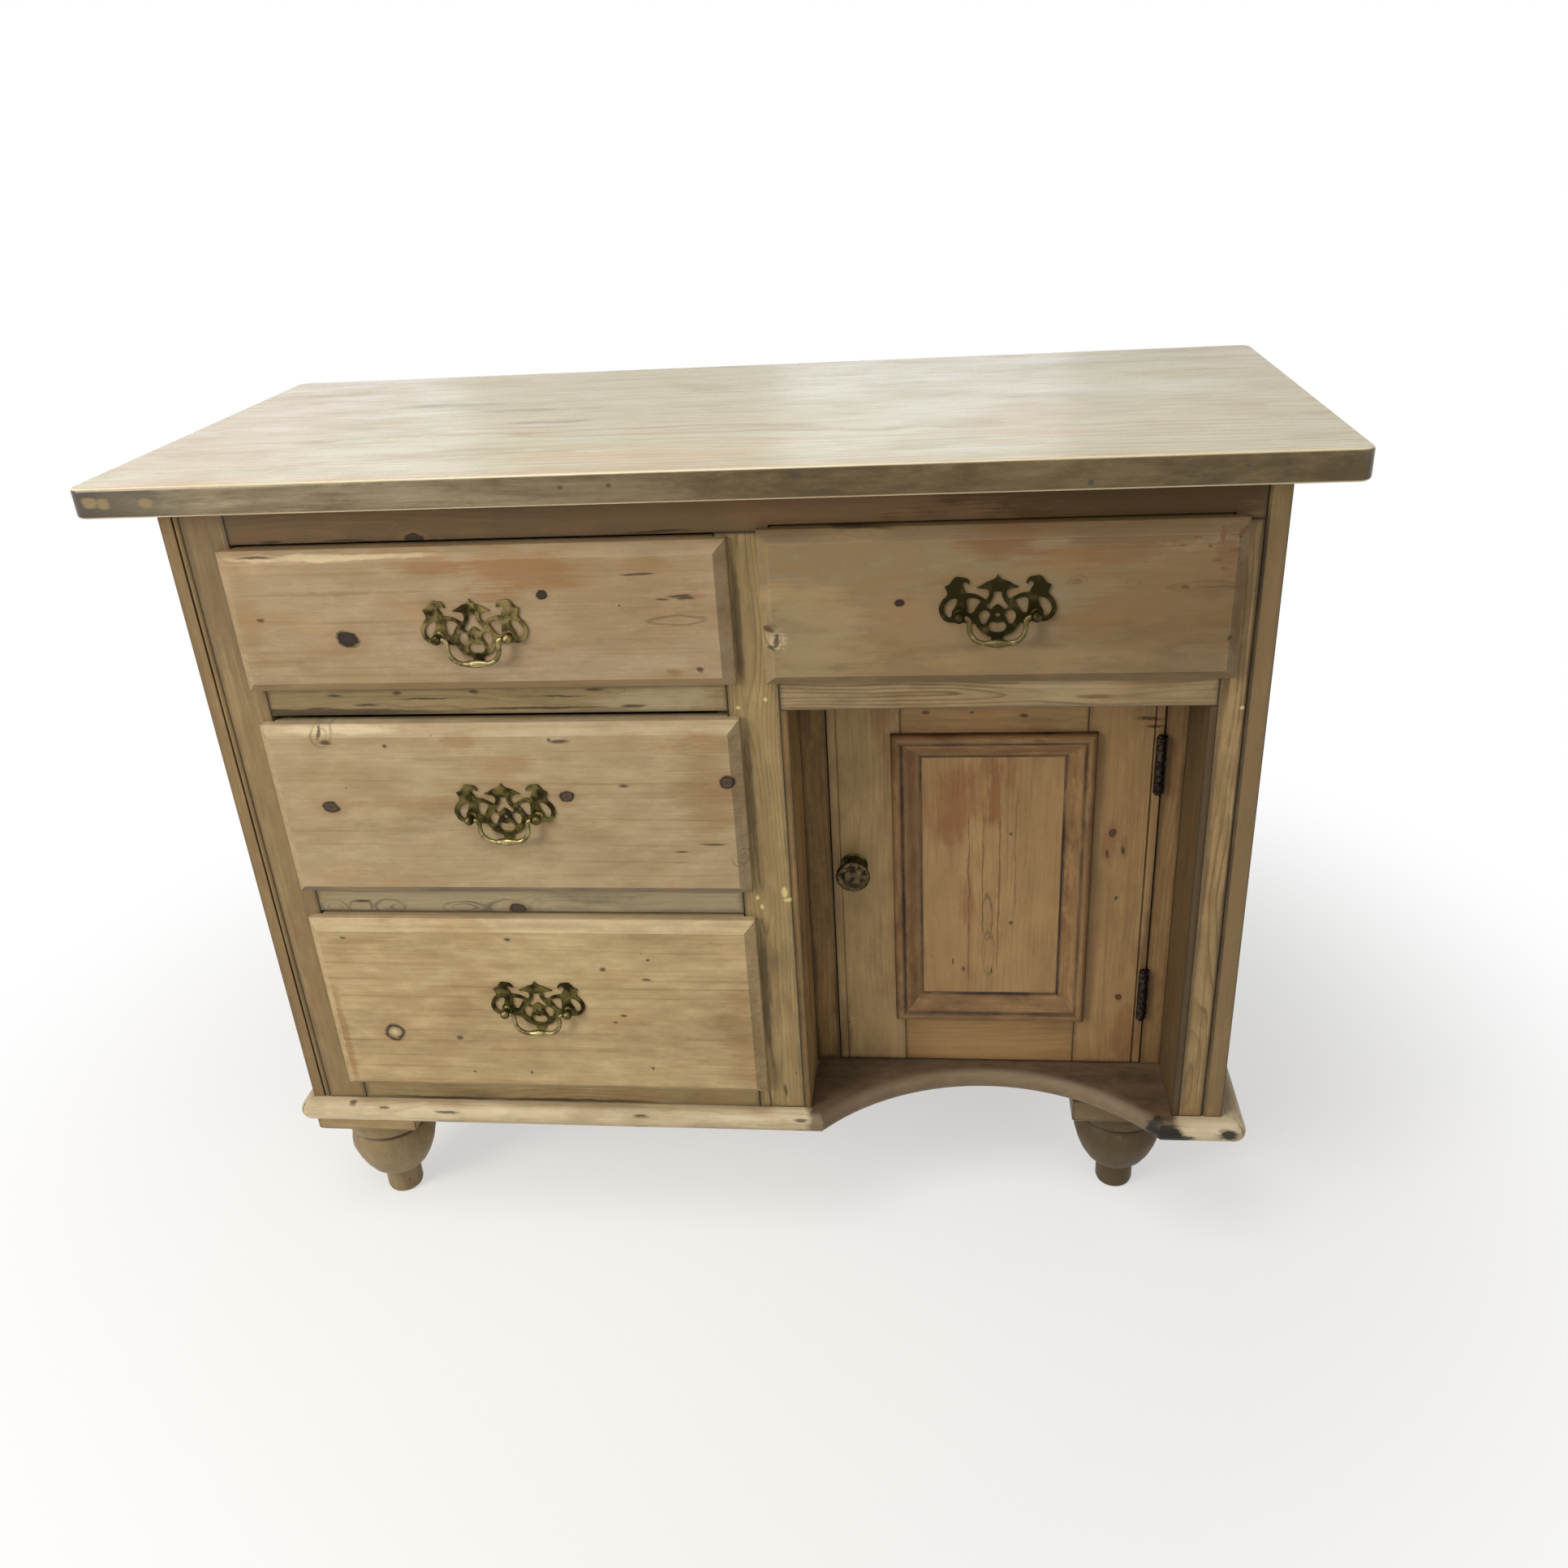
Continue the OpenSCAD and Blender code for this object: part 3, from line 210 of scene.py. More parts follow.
def board(name, material, ease=0.9, along=None, heart=(25, 38), rim=True, form=None, dark=None):
    """A CAD piece with its arrises rubbed round and the places that its wood grain follows, in mm.

    along is the axis that the grain follows, the longest one if it isn't given. heart is how far
    the tree's heart lies from the board's middle, across it and behind its face. form is a mesh
    that stands for the CAD one, and dark says where a face lies in a sunk line that holds grime.
    """
    bm = copied(name, weld=2e-5, flat=0.6) if form is None else form
    arris = bm.faces.layers.float.get("arris") or bm.faces.layers.float.new("arris")
    if dark:
        for face in bm.faces:
            face[arris] = float(dark(face.calc_center_median() * MM))
    if ease:
        for face in rub(bm, ease, sharp=32):
            face[arris] = 1.0
    # Each board has a seed of its own, and its heart strays a little from the place that is given
    boards = boards_of(bm)
    facts = {key: [0.0] * (3 * len(bm.verts)) for key in WOOD_FACTS}
    first_seed = sum(ord(letter) * (i + 3) for i, letter in enumerate(name)) % 97
    for k, group in enumerate(boards):
        low = [min(v.co[i] for v in group) * MM for i in range(3)]
        high = [max(v.co[i] for v in group) * MM for i in range(3)]
        order = sorted(range(3), key=lambda i: low[i] - high[i])
        if along is not None:
            order = [along] + [i for i in order if i != along]
        seed = first_seed + 13 * k
        turn = noise.noise(Vector((seed * 1.7, 3.1, 0.2)))
        from_heart = (seed * TREE_STEP, heart[0] * (1 + turn), heart[1] * (1 + 0.4 * turn))
        for v in group:
            for j, i in enumerate(order):
                p = v.co[i] * MM - (low[i] + high[i]) / 2
                at = 3 * v.index + j
                facts["place"][at] = p
                facts["half"][at] = (high[i] - low[i]) / 2 if rim else NO_RIM
                facts["grain"][at] = p + from_heart[j]
                facts["spot"][at] = p + (NEXT_BOARD * k if j == 0 else 0)
    mesh = bpy.data.meshes.new(name + "_wood")
    bm.to_mesh(mesh)
    for key, values in facts.items():
        mesh.attributes.new(key, "FLOAT_VECTOR", "POINT").data.foreach_set("vector", values)
    show(mesh, name, material)


def show(mesh, name, material):
    """The finished mesh stands for its CAD node, rides on its body and gets its material."""
    for face in mesh.polygons:
        face.use_smooth = True
    mesh.set_sharp_from_angle(angle=math.radians(50))
    mesh.materials.append(material)
    piece = bpy.data.objects.new(name + "_piece", mesh)
    bpy.context.scene.collection.objects.link(piece)
    normals = piece.modifiers.new("even_normals", "WEIGHTED_NORMAL")
    normals.keep_sharp = True
    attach(piece, frame["nodes"][name]["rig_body"])
    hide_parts(name)


FACTOR, UNDER, OVER = 0, 6, 7  # A colour Mix node's inputs
LEAST, MOST = 0.3, 0.7  # Nearly all of a noise lies between these


def laid(tree, colour, tone, mask, none, full, much=1.0, soft=False):
    """A tone laid over a colour: not at all where the mask is at none, by much where it is at full."""
    amount = add(tree, "MapRange", mask, none, full, 0.0, much,
                 interpolation_type="SMOOTHSTEP" if soft else "LINEAR")
    over = linear(tone) if isinstance(tone, str) else tone
    return add(tree, "Mix", data_type="RGBA", out=2, named={FACTOR: amount, UNDER: colour, OVER: over})


def streaks(tree, grain, length, width, detail, rough=0.5, shift=(0, 0, 0), out=0):
    """A pattern drawn out along the grain, with cells of this length and width in mm.

    shift moves it off the other patterns, and out is 1 where it has a value for each axis.
    """
    scale = (1 / length, 1 / width, 1 / width)
    cells = add(tree, "VectorMath", grain, scale, shift, operation="MULTIPLY_ADD")
    return add(tree, "TexNoise", cells, named={"Scale": 1.0, "Detail": detail, "Roughness": rough}, out=out)


def from_mark(tree, spot, mark):
    """How far a spot is from a mark's middle, in the mark's own radii.

    A mark is (along, across, its two radii) in mm from the board's middle, and may add its
    depth and third radius. The nth board of a node adds n times NEXT_BOARD to its first number.
    """
    along, across, long, wide, *rest = mark
    deep, thick = rest or (0, math.inf)
    way = add(tree, "VectorMath", spot, (1 / long, 1 / wide, 1 / thick),
              (-along / long, -across / wide, -deep / thick), operation="MULTIPLY_ADD")
    return add(tree, "VectorMath", way, operation="LENGTH", out=1)


def pine(name, early, late, stain, grime, ring=4.4, figure=0.5, threads=0.35, mottle=0.3, stained=0.3,
         dirty=0.3, edge=0.5, joint=0.0, arris=("#3A3024", 0.5), gloss=0.46, shine=0.25, relief=1.0,
         strays=True, pricks=0.75, knots=(), eye=("#4A372B", "#5A4332", "#2E2118"), halo=0.3,
         patches=(), dabs=(), specks=(), loops=(), slopes=()):
    """Old softwood, planed by hand, stripped and waxed: pale early wood between thin darker
    lines of late wood, with red-brown stain left in places and grime along the edges.

    ring is the way from ring to ring in mm. figure, threads, mottle, stained, dirty, edge, joint,
    relief and pricks say how strongly a pattern shows, and arris is a colour with its strength.
    eye holds a knot's colours from its middle outwards, and halo is the strength of the red round
    it. knots, specks and loops are marks, a dab is (marks, colour), a patch (mark, strength,
    colour), and a slope (1 where the edge leans up or -1 where it leans down, strength, colour).
    """
    material = bpy.data.materials.new(name)
    material.use_nodes = True
    tree = material.node_tree
    shader = tree.nodes["Principled BSDF"]
    node = partial(add, tree)
    lay = partial(laid, tree)
    grain, place, half, spot = (node("Attribute", attribute_name=key, out=1) for key in WOOD_FACTS)
    along_grain = partial(streaks, tree, grain)

    # Marks stray from their true outline by up to 3.5 mm along the grain and 2.5 mm across it
    astray = node("VectorMath", along_grain(26, 15, 3.0, out=1), (7, 5, 0), (-3.5, -2.5, 0),
                  operation="MULTIPLY_ADD")
    spot = node("VectorMath", spot, astray, operation="ADD")

    def nearest(marks, outline=False):
        """Distance to the nearest mark, in its own radii, or to the nearest mark's outline."""
        found = None
        for mark in marks:
            way = from_mark(tree, spot, mark)
            if outline:
                way = node("Math", node("Math", way, 1.0, operation="SUBTRACT"), operation="ABSOLUTE")
            found = way if found is None else node("Math", found, way, operation="MINIMUM")
        return found

    # Way to the board's ends, edges and faces
    inward = node("VectorMath", half, node("VectorMath", place, operation="ABSOLUTE"), operation="SUBTRACT")
    to_end, to_edge, to_face = node("SeparateXYZ", inward).node.outputs

    # Knots: those that this board shows, and strays, one to a cell, clear of the edges
    near = nearest(knots)
    if strays:
        cell_long, cell_wide, knot_long, knot_wide = 240, 95, 8, 5.5
        cell = node("VectorMath", grain, (1 / cell_long, 1 / cell_wide, 0), operation="MULTIPLY")
        knot = node("TexVoronoi", cell, voronoi_dimensions="2D", named={"Scale": 1.0}).node.outputs
        size = node("MapRange", node("SeparateColor", knot["Color"]), 0.5, 1.0, 0.02, 1.0)
        gap = node("VectorMath", node("VectorMath", cell, knot["Position"], operation="SUBTRACT"),
                   (cell_long / knot_long, cell_wide / knot_wide, 0), operation="MULTIPLY")
        gap = node("VectorMath", gap, operation="LENGTH", out=1)
        stray = node("Math", node("Math", gap, size, operation="DIVIDE"),
                     node("MapRange", to_edge, 4.0, 22.0, 4.0, 0.0), operation="ADD")
        near = stray if near is None else node("Math", near, stray, operation="MINIMUM")

    # Yearly rings round a heart that wanders along the board by up to 17 mm
    wander = node("VectorMath", along_grain(300, 80, 2.5, out=1), (0, 34, 34), (0, -17, -17),
                  operation="MULTIPLY_ADD")
    bowed = node("VectorMath", node("VectorMath", grain, (0.012, 1, 1), operation="MULTIPLY"), wander,
                 operation="ADD")
    to_heart = node("VectorMath", node("VectorMath", bowed, (0, 1, 1), operation="MULTIPLY"),
                    operation="LENGTH", out=1)
    rings = node("Math", to_heart, 1 / ring, operation="MULTIPLY")
    if near is not None:
        bent = node("MapRange", near, 0.0, 5.0, 2.6, 0.0, interpolation_type="SMOOTHERSTEP")
        rings = node("Math", rings, bent, operation="ADD")
    line = node("ValToRGB", node("Math", rings, operation="FRACT"))
    ramp = line.node.color_ramp
    ramp.elements[0].color = ramp.elements[1].color = (0.12, 0.12, 0.12, 1)
    for at, value in ((0.35, 0.0), (0.72, 0.35), (0.9, 1.0)):
        ramp.elements.new(at).color = (value, value, value, 1)

    # Fibres 1.6 mm wide and 60 mm long, wider than real ones so that they show, and long threads
    fibre = along_grain(60, 1.6, 3.0, 0.6)
    thread = along_grain(280, 5.5, 3.0, 0.55)
    cloud = along_grain(190, 55, 4.0, 0.6)
    soft = along_grain(38, 15, 5.0, 0.68, shift=(3.1, 8.8, 1.2))
    strength = node("Math", node("MapRange", cloud, 0.38, 0.64, 0.2, 1.3), figure, operation="MULTIPLY")
    colour = node("Mix", data_type="RGBA", out=2, named={
        FACTOR: node("Math", line, strength, operation="MULTIPLY"), UNDER: linear(early), OVER: linear(late)})
    colour = lay(colour, late, fibre, 0.36, 0.7, 0.22)
    colour = lay(colour, late, thread, 0.54, 0.72, threads)
    colour = lay(colour, late, cloud, 0.56, 0.34, mottle)
    colour = lay(colour, late, soft, 0.44, 0.7, mottle)
    bleached = [min(1.0, 1.35 * part) for part in linear(early)]
    colour = lay(colour, bleached, soft, 0.46, 0.3, 0.7 * mottle)

    # Stain left by stripping, and dull grime
    blotch = along_grain(80, 30, 6.0, 0.66)
    ragged = node("Math", node("MapRange", blotch, LEAST, MOST, 0.5, -0.5),
                  node("MapRange", fibre, LEAST, MOST, 0.22, -0.22), operation="ADD")
    colour = lay(colour, stain, blotch, 0.5, 0.72, stained, soft=True)
    for mark, much, tone in patches:
        outline = node("Math", nearest([mark]), ragged, operation="ADD")
        colour = lay(colour, tone, outline, 1.1, 0.4, much, soft=True)
    # A slope tints the sloped edges that lean up or down; a pale tint on an upward slope is partly rubbed
    # wear and partly painted highlight, as if lit from above
    for lean, much, tone in slopes:
        tilt = node("Math", node("SeparateXYZ", node("TexCoord", out=1), out=2), lean, operation="MULTIPLY")
        facing_mask = node("Math", node("MapRange", tilt, 0.06, 0.22, 0.0, much),
                    node("MapRange", blotch, 0.62, 0.42, 0.3, 1.0), operation="MULTIPLY")
        colour = lay(colour, tone, facing_mask, 0.0, 1.0)
    film = along_grain(130, 42, 6.0, 0.7, shift=(7.3, 1.9, 4.1))
    colour = lay(colour, grime, film, 0.47, 0.75, dirty, soft=True)

    # Grime along the outline, which is as far off as the middle one of the three ways above
    rim = node("Math", node("Math", to_end, to_edge, operation="MAXIMUM"), to_face, operation="MINIMUM")
    rim = node("Math", node("Math", to_end, to_edge, operation="MINIMUM"), rim, operation="MAXIMUM")
    rim = node("Math", rim, node("MapRange", film, LEAST, MOST, -2.5, 5.0), operation="ADD")
    colour = lay(colour, grime, rim, 7.0, 0.5, edge, soft=True)

    # Dark joints at the ends, and the arrises, dark or rubbed pale
    if joint:
        colour = lay(colour, "#2C241A", to_end, 2.2, 0.9, joint)
    strip = node("Math", node("Attribute", attribute_name="arris", out=2),
                 node("MapRange", blotch, 0.36, 0.6, 0.35, arris[1]), operation="MULTIPLY")
    colour = lay(colour, arris[0], strip, 0.0, 1.0)

    # Worm holes, nail pricks and dents about 1 mm wide, at most one to a cell of 30 by 26 mm
    cells = node("VectorMath", grain, (1 / 30, 1 / 26, 1 / 26), operation="MULTIPLY")
    prick = node("TexVoronoi", cells, voronoi_dimensions="3D", named={"Scale": 1.0}).node.outputs
    width = node("MapRange", node("SeparateColor", prick["Color"], out=1), 0.72, 1.0, 0.0, 0.036)
    pricks_and_specks = node("Math", prick["Distance"], width, operation="SUBTRACT")
    pricks_and_specks = node("MapRange", pricks_and_specks, 0.0, 0.012, 1.0, 0.0)
    pricks_and_specks = node("Math", pricks_and_specks, pricks, operation="MULTIPLY")
    # Specks are small dark marks; on the rails some of them are painted shadow along a gap
    if specks:
        speck = node("Math", nearest(specks), node("MapRange", fibre, LEAST, MOST, -0.3, 0.3),
                     operation="ADD")
        pricks_and_specks = node("Math", pricks_and_specks, node("MapRange", speck, 0.6, 1.3, 0.8, 0.0), operation="MAXIMUM")
    if loops:
        loop = node("Math", nearest(loops, outline=True), node("MapRange", blotch, 0.38, 0.6, 0.2, 0.0),
                    operation="ADD")
        colour = lay(colour, grime, loop, 0.3, 0.0, 0.7)
    colour = lay(colour, "#35281A", pricks_and_specks, 0.0, 1.0)
    if near is not None:
        near = node("Math", near, node("MapRange", soft, LEAST, MOST, -0.28, 0.28), operation="ADD")
        colour = lay(colour, "#8A6440", near, 2.4, 1.0, halo, soft=True)
        core = node("Math", near, node("MapRange", fibre, LEAST, MOST, -0.12, 0.12), operation="ADD")
        core = node("ValToRGB", core)
        tones = core.node.color_ramp
        tones.elements[0].color, tones.elements[1].color = linear(eye[0]), linear(eye[2])
        tones.elements.new(0.62).color = linear(eye[1])
        tones.elements.new(0.82).color = linear(eye[2])
        colour = lay(colour, core, near, 1.16, 0.88, 0.96)
    for marks, tone in dabs:
        dab = node("Math", nearest(marks), node("Math", ragged, 0.5, operation="MULTIPLY"), operation="ADD")
        colour = lay(colour, tone, dab, 1.08, 0.75, 0.9)
    tree.links.new(colour, shader.inputs["Base Color"])

    # Wax: shinier on late wood, dull in stain; washed wood keeps a slight ridge at each ring
    dull = node("MapRange", film, LEAST, MOST, gloss - 0.06, gloss + 0.12)
    dull = node("Math", dull, node("Math", fibre, 0.10, operation="MULTIPLY"), operation="ADD")
    tree.links.new(dull, shader.inputs["Roughness"])
    shader.inputs["IOR"].default_value = 1.5
    shader.inputs["Specular IOR Level"].default_value = shine
    height = node("Math", line, 0.14 * figure, operation="MULTIPLY")
    for pattern, much in ((fibre, 0.12), (along_grain(26, 17, 2.0), 0.5), (pricks_and_specks, -0.5)):
        height = node("Math", height, node("Math", pattern, much, operation="MULTIPLY"), operation="ADD")
    bump = node("Bump", named={"Strength": relief, "Distance": 0.001, "Height": height})
    tree.links.new(bump, shader.inputs["Normal"])
    return material


# Red deal, as the trade calls Baltic pine: honey-tan with greyer lines, brown at the front edge
side_pine = pine("waxed_pine_sides", "#978059", "#7E6742", "#8A5B39", "#4E4433", ring=5.0, edge=0.35,
                 patches=[((0, -216, 900, 16), 0.85, "#7A6444")], arris=("#2A2118", 0.8))

# The sunk lines lie in front of a depth and between two widths, in mm
LEFT_LINES, LEFT_DEPTH = ((-464.6, -463.7), (-458.2, -457.5)), -204
RIGHT_LINE, RIGHT_DEPTH = (464.5, 466.8), -206
board("side_left", side_pine, heart=(60, 55),
      dark=lambda c: c.y < LEFT_DEPTH and any(x0 < c.x < x1 for x0, x1 in LEFT_LINES))
board("side_right", side_pine, heart=(-40, 45),
      dark=lambda c: c.y < RIGHT_DEPTH and RIGHT_LINE[0] < c.x < RIGHT_LINE[1])


# Front frame
# Stiles and rails of pine, jointed and glued flush with each other. The rails have gone
# greyer than the drawers; the long top rail is cut up a little over the right drawer.
FRAME = dict(late="#6B5636", stain="#87603C", grime="#4B4334", ring=3.2, figure=0.75, dirty=0.5,
             joint=0.65, arris=("#33291D", 0.55))
FRAME_HEART = (12, 30)
# Painted shadow: the dark tone of the strips that the proud left drawer fronts cast on the middle stile
DRAWER_SHADOW = "#453826"
STILES = {
    "stile_left": dict(
        early="#917C58", figure=0.35, dirty=0.35,
        patches=[((250, 0, 150, 60), 0.45, "#5E4E38")]),
    "stile_middle": dict(
        early="#A18C60", strays=False,
        # Three dark strips down the stile's left side, beside the left drawers' right edges: painted shadow
        # of the proud drawer fronts
        patches=[((-176, -9, 108, 5), 0.6, DRAWER_SHADOW), ((50, -9, 94, 5), 0.6, DRAWER_SHADOW),
                 ((240, -9, 70, 5), 0.6, DRAWER_SHADOW)],
        specks=[(-206, -17.7, 66, 0.8), (-300, -12, 16, 1), (-285, 4, 9, 1.2)],
        dabs=[([(-45, 17, 6, 3), (-53.4, 20, 3, 5), (-51.5, -10, 3, 2), (-62, -6, 2.5, 2),
                (148, -14.5, 2, 2), (155.6, 11, 2, 2)], "#C9BC80")]),
    "stile_right": dict(
        early="#A58C61", figure=1.0, threads=1.0, mottle=0.45, dirty=0.65, strays=False,
        dabs=[([(142, 8, 2, 2)], "#C9BC90")]),
}
for part, look in STILES.items():
    board(part, pine("waxed_pine_" + part, **{**FRAME, **look}), heart=FRAME_HEART)
# The top rail's dark colour and its darkest right end are partly grime and partly painted shade: the shade
# under the top board's overhang, deepest at the right where the light falls off
top_rail_pine = pine(
    "waxed_pine_top_rail", "#604C34", **{**FRAME, "dirty": 0.6}, eye=("#2A211A", "#2A211A", "#1E1712"),
    knots=[(-271.6, -15, 7, 4)],
    patches=[((190, 0, 190, 20), 0.35, "#6E4F36"), ((330, 0, 190, 26), 0.85, "#412C0D")],
    specks=[(-400, -15, 9, 1.6), (-330, -16, 20, 1), (40, -15, 12, 1.5), (-60, -15, 26, 1.2)])
board("top_rail", top_rail_pine, heart=FRAME_HEART)

# The bottom rail, the lower rail over it and the upper one, with half-knots and scratches
LOWER, UPPER = NEXT_BOARD, 2 * NEXT_BOARD
rails_pine = pine(
    "waxed_pine_drawer_rails", "#A08E66", **{**FRAME, "figure": 0.6}, strays=False,
    knots=[(LOWER - 10.6, -10, 8, 5)], eye=("#3A302B", "#433630", "#241C17"),
    loops=[(LOWER - 199, -9, 13, 8), (LOWER - 199, -9, 7, 4), (LOWER - 172, -9, 12, 8),
           (LOWER - 141, -9, 15, 9), (LOWER - 132, -9, 8, 4), (LOWER - 64, -9, 22, 7),
           (LOWER - 64, -9, 12, 4), (LOWER - 20, -9, 20, 9), (UPPER + 115, 9, 9, 4)],
    # The two long dark specks at UPPER - 170 and UPPER - 150, along the upper rail's lower edge, are painted
    # shadow in the gap over the middle drawer
    specks=[(UPPER - 170, -9.5, 70, 2.4), (UPPER - 150, -11.5, 100, 3.4), (UPPER + 95, 9, 9, 1.6),
            (UPPER + 60, 3, 20, 0.9), (UPPER - 60, 2, 30, 0.8), (UPPER - 120, -4, 12, 1.2),
            (UPPER - 150, 5, 7, 1.2), (UPPER - 90, 8, 4, 2), (UPPER - 16, 8, 5, 2),
            (UPPER - 168, -7, 14, 1.2), (UPPER + 40, -9, 60, 1.1), (LOWER - 169, -2, 9, 1.6),
            (UPPER + 130, -8, 12, 1.6), (-120, -11, 60, 1.6), (10, -11, 90, 1.8)],
    patches=[((UPPER, 0, 500, 60), 0.35, "#76664A"), ((UPPER + 150, 0, 60, 16), 0.4, "#B9AE90"),
             ((LOWER, 0, 500, 60), 0.4, "#A8A38C"), ((-30, -4, 190, 9), 0.45, "#7A5F3E")])
board("drawer_rails", rails_pine, heart=FRAME_HEART)
cupboard_pine = pine(
    "waxed_pine_cupboard_rail", "#A6926F", **{**FRAME, "figure": 1.15, "ring": 3.6}, strays=False,
    patches=[((60, 6, 70, 6), 0.5, "#B4A27C"), ((150, 8, 50, 4), 0.5, "#8A5A34")])
board("cupboard_rail", cupboard_pine, heart=(3, 16))


# Recess and inside boards
# Thin rough-planed boards line the recess and stand behind the frame. They were never
# stripped on the inside, and years of dust have made them dark.
inner_pine = pine("dusty_pine_inside", "#8F7247", "#5F4628", "#5E3A22", "#33291E", ring=4.0, gloss=0.62,
                  dirty=0.6, edge=0.4, stained=0.5)
recess_pine = pine("dark_pine_recess", "#977A4C", "#5E4730", "#54351F", "#2F261C", ring=4.2, gloss=0.5,
                   dirty=0.65, edge=0.7, stained=0.55)
hinge_pine = pine("waxed_pine_hinge_side", "#9A7C52", "#6C5030", "#7A4C2B", "#3B2E20", ring=4.2,
                  dirty=0.5, edge=0.6, stained=0.4, strays=False, arris=("#241B13", 0.8))
cheek_pine = pine("waxed_pine_cheek", "#5C4B30", "#47351F", "#6A4428", "#33281C", ring=4.2,
                  dirty=0.6, edge=0.6, stained=0.4, strays=False, arris=("#241B13", 0.8))
for part, look in (("cheek_left", recess_pine), ("jamb_strip", recess_pine),
                   ("cheek_right", cheek_pine), ("hinge_stile", hinge_pine)):
    board(part, look, ease=0.6)
for part in ("partition", "recess_soffit", "bottom_boards", "door_stop", "drawer_runners"):
    board(part, inner_pine, ease=0.7)


# Back boards
# Six upright boards nailed into rebates, a little apart where they have shrunk. The nails'
# low iron heads stand a little proud along the bottom, the sides and the partition.
back_pine = pine("raw_pine_back", "#9E8158", "#6B5133", "#6B4A2E", "#40362A", ring=4.6, gloss=0.66,
                 dirty=0.55, edge=0.45)
board("back_boards", back_pine, ease=0.5, along=2, heart=(50, 42))


# Base
# Broad boards lie flat on the feet with a full round nose at the front and sides, mitred at
# the corners. The front one is cut to an arch under the door; its nose is rubbed pale.
BASE = dict(early="#CDBE9D", late="#8B7048", stain="#80553A", grime="#4A3E30", ring=3.8, figure=0.3,
            edge=0.0, gloss=0.42, strays=False, arris=("#3A3024", 0.0))
base_pine = pine(
    "rubbed_pine_base", **BASE, patches=[((466, -84, 34, 12), 0.45, "#DCCBB0")],
    specks=[(-402, -84, 5, 1.2), (-438, -80, 4, 3), (-330, -86, 14, 1), (-120, -86, 9, 1), (50, -86, 7, 1)])
tree = base_pine.node_tree
node = partial(add, tree)
lay = partial(laid, tree)
base_colour = tree.nodes["Principled BSDF"].inputs["Base Color"]
spot = node("Attribute", attribute_name="spot", out=1)
dirt = streaks(tree, node("Attribute", attribute_name="grain", out=1), 45, 20, 6.0, 0.7)

# The unwaxed part between the stiles, brown with old polish, and greyer where the arch is worn
UNWAXED_MIDDLE, UNWAXED_HALF, FADE = 243, 191, 8
from_middle = node("Math", node("SeparateXYZ", spot), UNWAXED_MIDDLE, operation="SUBTRACT")
from_middle = node("Math", node("Math", from_middle, operation="ABSOLUTE"),
                   node("MapRange", dirt, LEAST, MOST, -5.0, 5.0), operation="ADD")
unwaxed = lay(linear("#604B37"), "#3C2E21", dirt, 0.36, 0.64)
facing = node("SeparateXYZ", node("TexCoord", out=1), out=1)
facing_mask = node("Math", node("MapRange", facing, -0.15, -0.75), node("MapRange", dirt, 0.3, 0.6, 0.35, 1.0),
            operation="MULTIPLY")
unwaxed = lay(unwaxed, "#77654D", facing_mask, 0.0, 1.0)
colour = lay(base_colour.links[0].from_socket, unwaxed, from_middle, UNWAXED_HALF, UNWAXED_HALF - FADE, 0.95)

# Broken and scorched black where the arch meets its right end
for scorch in ((404, -80, 14, 7), (420, -88, 16, 5), (436, -90, 14, 2.5), (480, -89, 12, 3.5)):
    way = node("Math", from_mark(tree, spot, scorch), node("MapRange", dirt, 0.34, 0.66, -0.7, 0.7),
               operation="ADD")
    colour = lay(colour, "#1B1612", way, 1.25, 0.45, 0.95, soft=True)
tree.links.new(colour, base_colour)
board("base_front", base_pine, ease=0, along=0)
board("base_returns", pine("rubbed_pine_base_ends", **BASE), ease=0, along=1)
board("base_back", inner_pine)


# Feet
# Each foot is a square block with its lower edges sloped off and, under it, one turned piece:
# a collar, a sunk line, a round bulb and a narrow peg. The front right one is darker: partly its
# own colour, partly painted shade where it stands in shade under the arch.
FOOT = dict(late="#836B47", stain="#7C4F33", grime="#43382B", ring=4.6, figure=0.25, dirty=0.5,
            gloss=0.44, strays=False, mottle=0.5)
RIGHT_FOOT = (2 * NEXT_BOARD, 0, 500, 500)  # Takes in the whole front right foot, the third of four
# The front right foot and its block are painted darker: partly their own colour, partly painted shade
foot_pine = pine("turned_pine_feet", "#8F7F5F", **FOOT, edge=0, patches=[(RIGHT_FOOT, 0.8, "#40311B")])
block_pine = pine("sawn_pine_blocks", "#A68F67", **FOOT, edge=0.4, patches=[(RIGHT_FOOT, 0.7, "#5A4A36")])

# Darker bands in the sunk line under the collar and where the peg meets the bulb, in mm up the foot
SUNK_LINE, PEG_TOP = 39.4, -26.2
tree = foot_pine.node_tree
node = partial(add, tree)
foot_colour = tree.nodes["Principled BSDF"].inputs["Base Color"]
colour = foot_colour.links[0].from_socket
height = node("SeparateXYZ", node("Attribute", attribute_name="place", out=1))
for at in (SUNK_LINE, PEG_TOP):
    away = node("Math", node("Math", height, at, operation="SUBTRACT"), operation="ABSOLUTE")
    colour = laid(tree, colour, "#2E2418", away, 3.4, 0.8, 0.85)
tree.links.new(colour, foot_colour)
board("foot_blocks", block_pine, ease=1.2, along=0)
board("feet", foot_pine, ease=0, along=2, heart=(9, 14), rim=False)


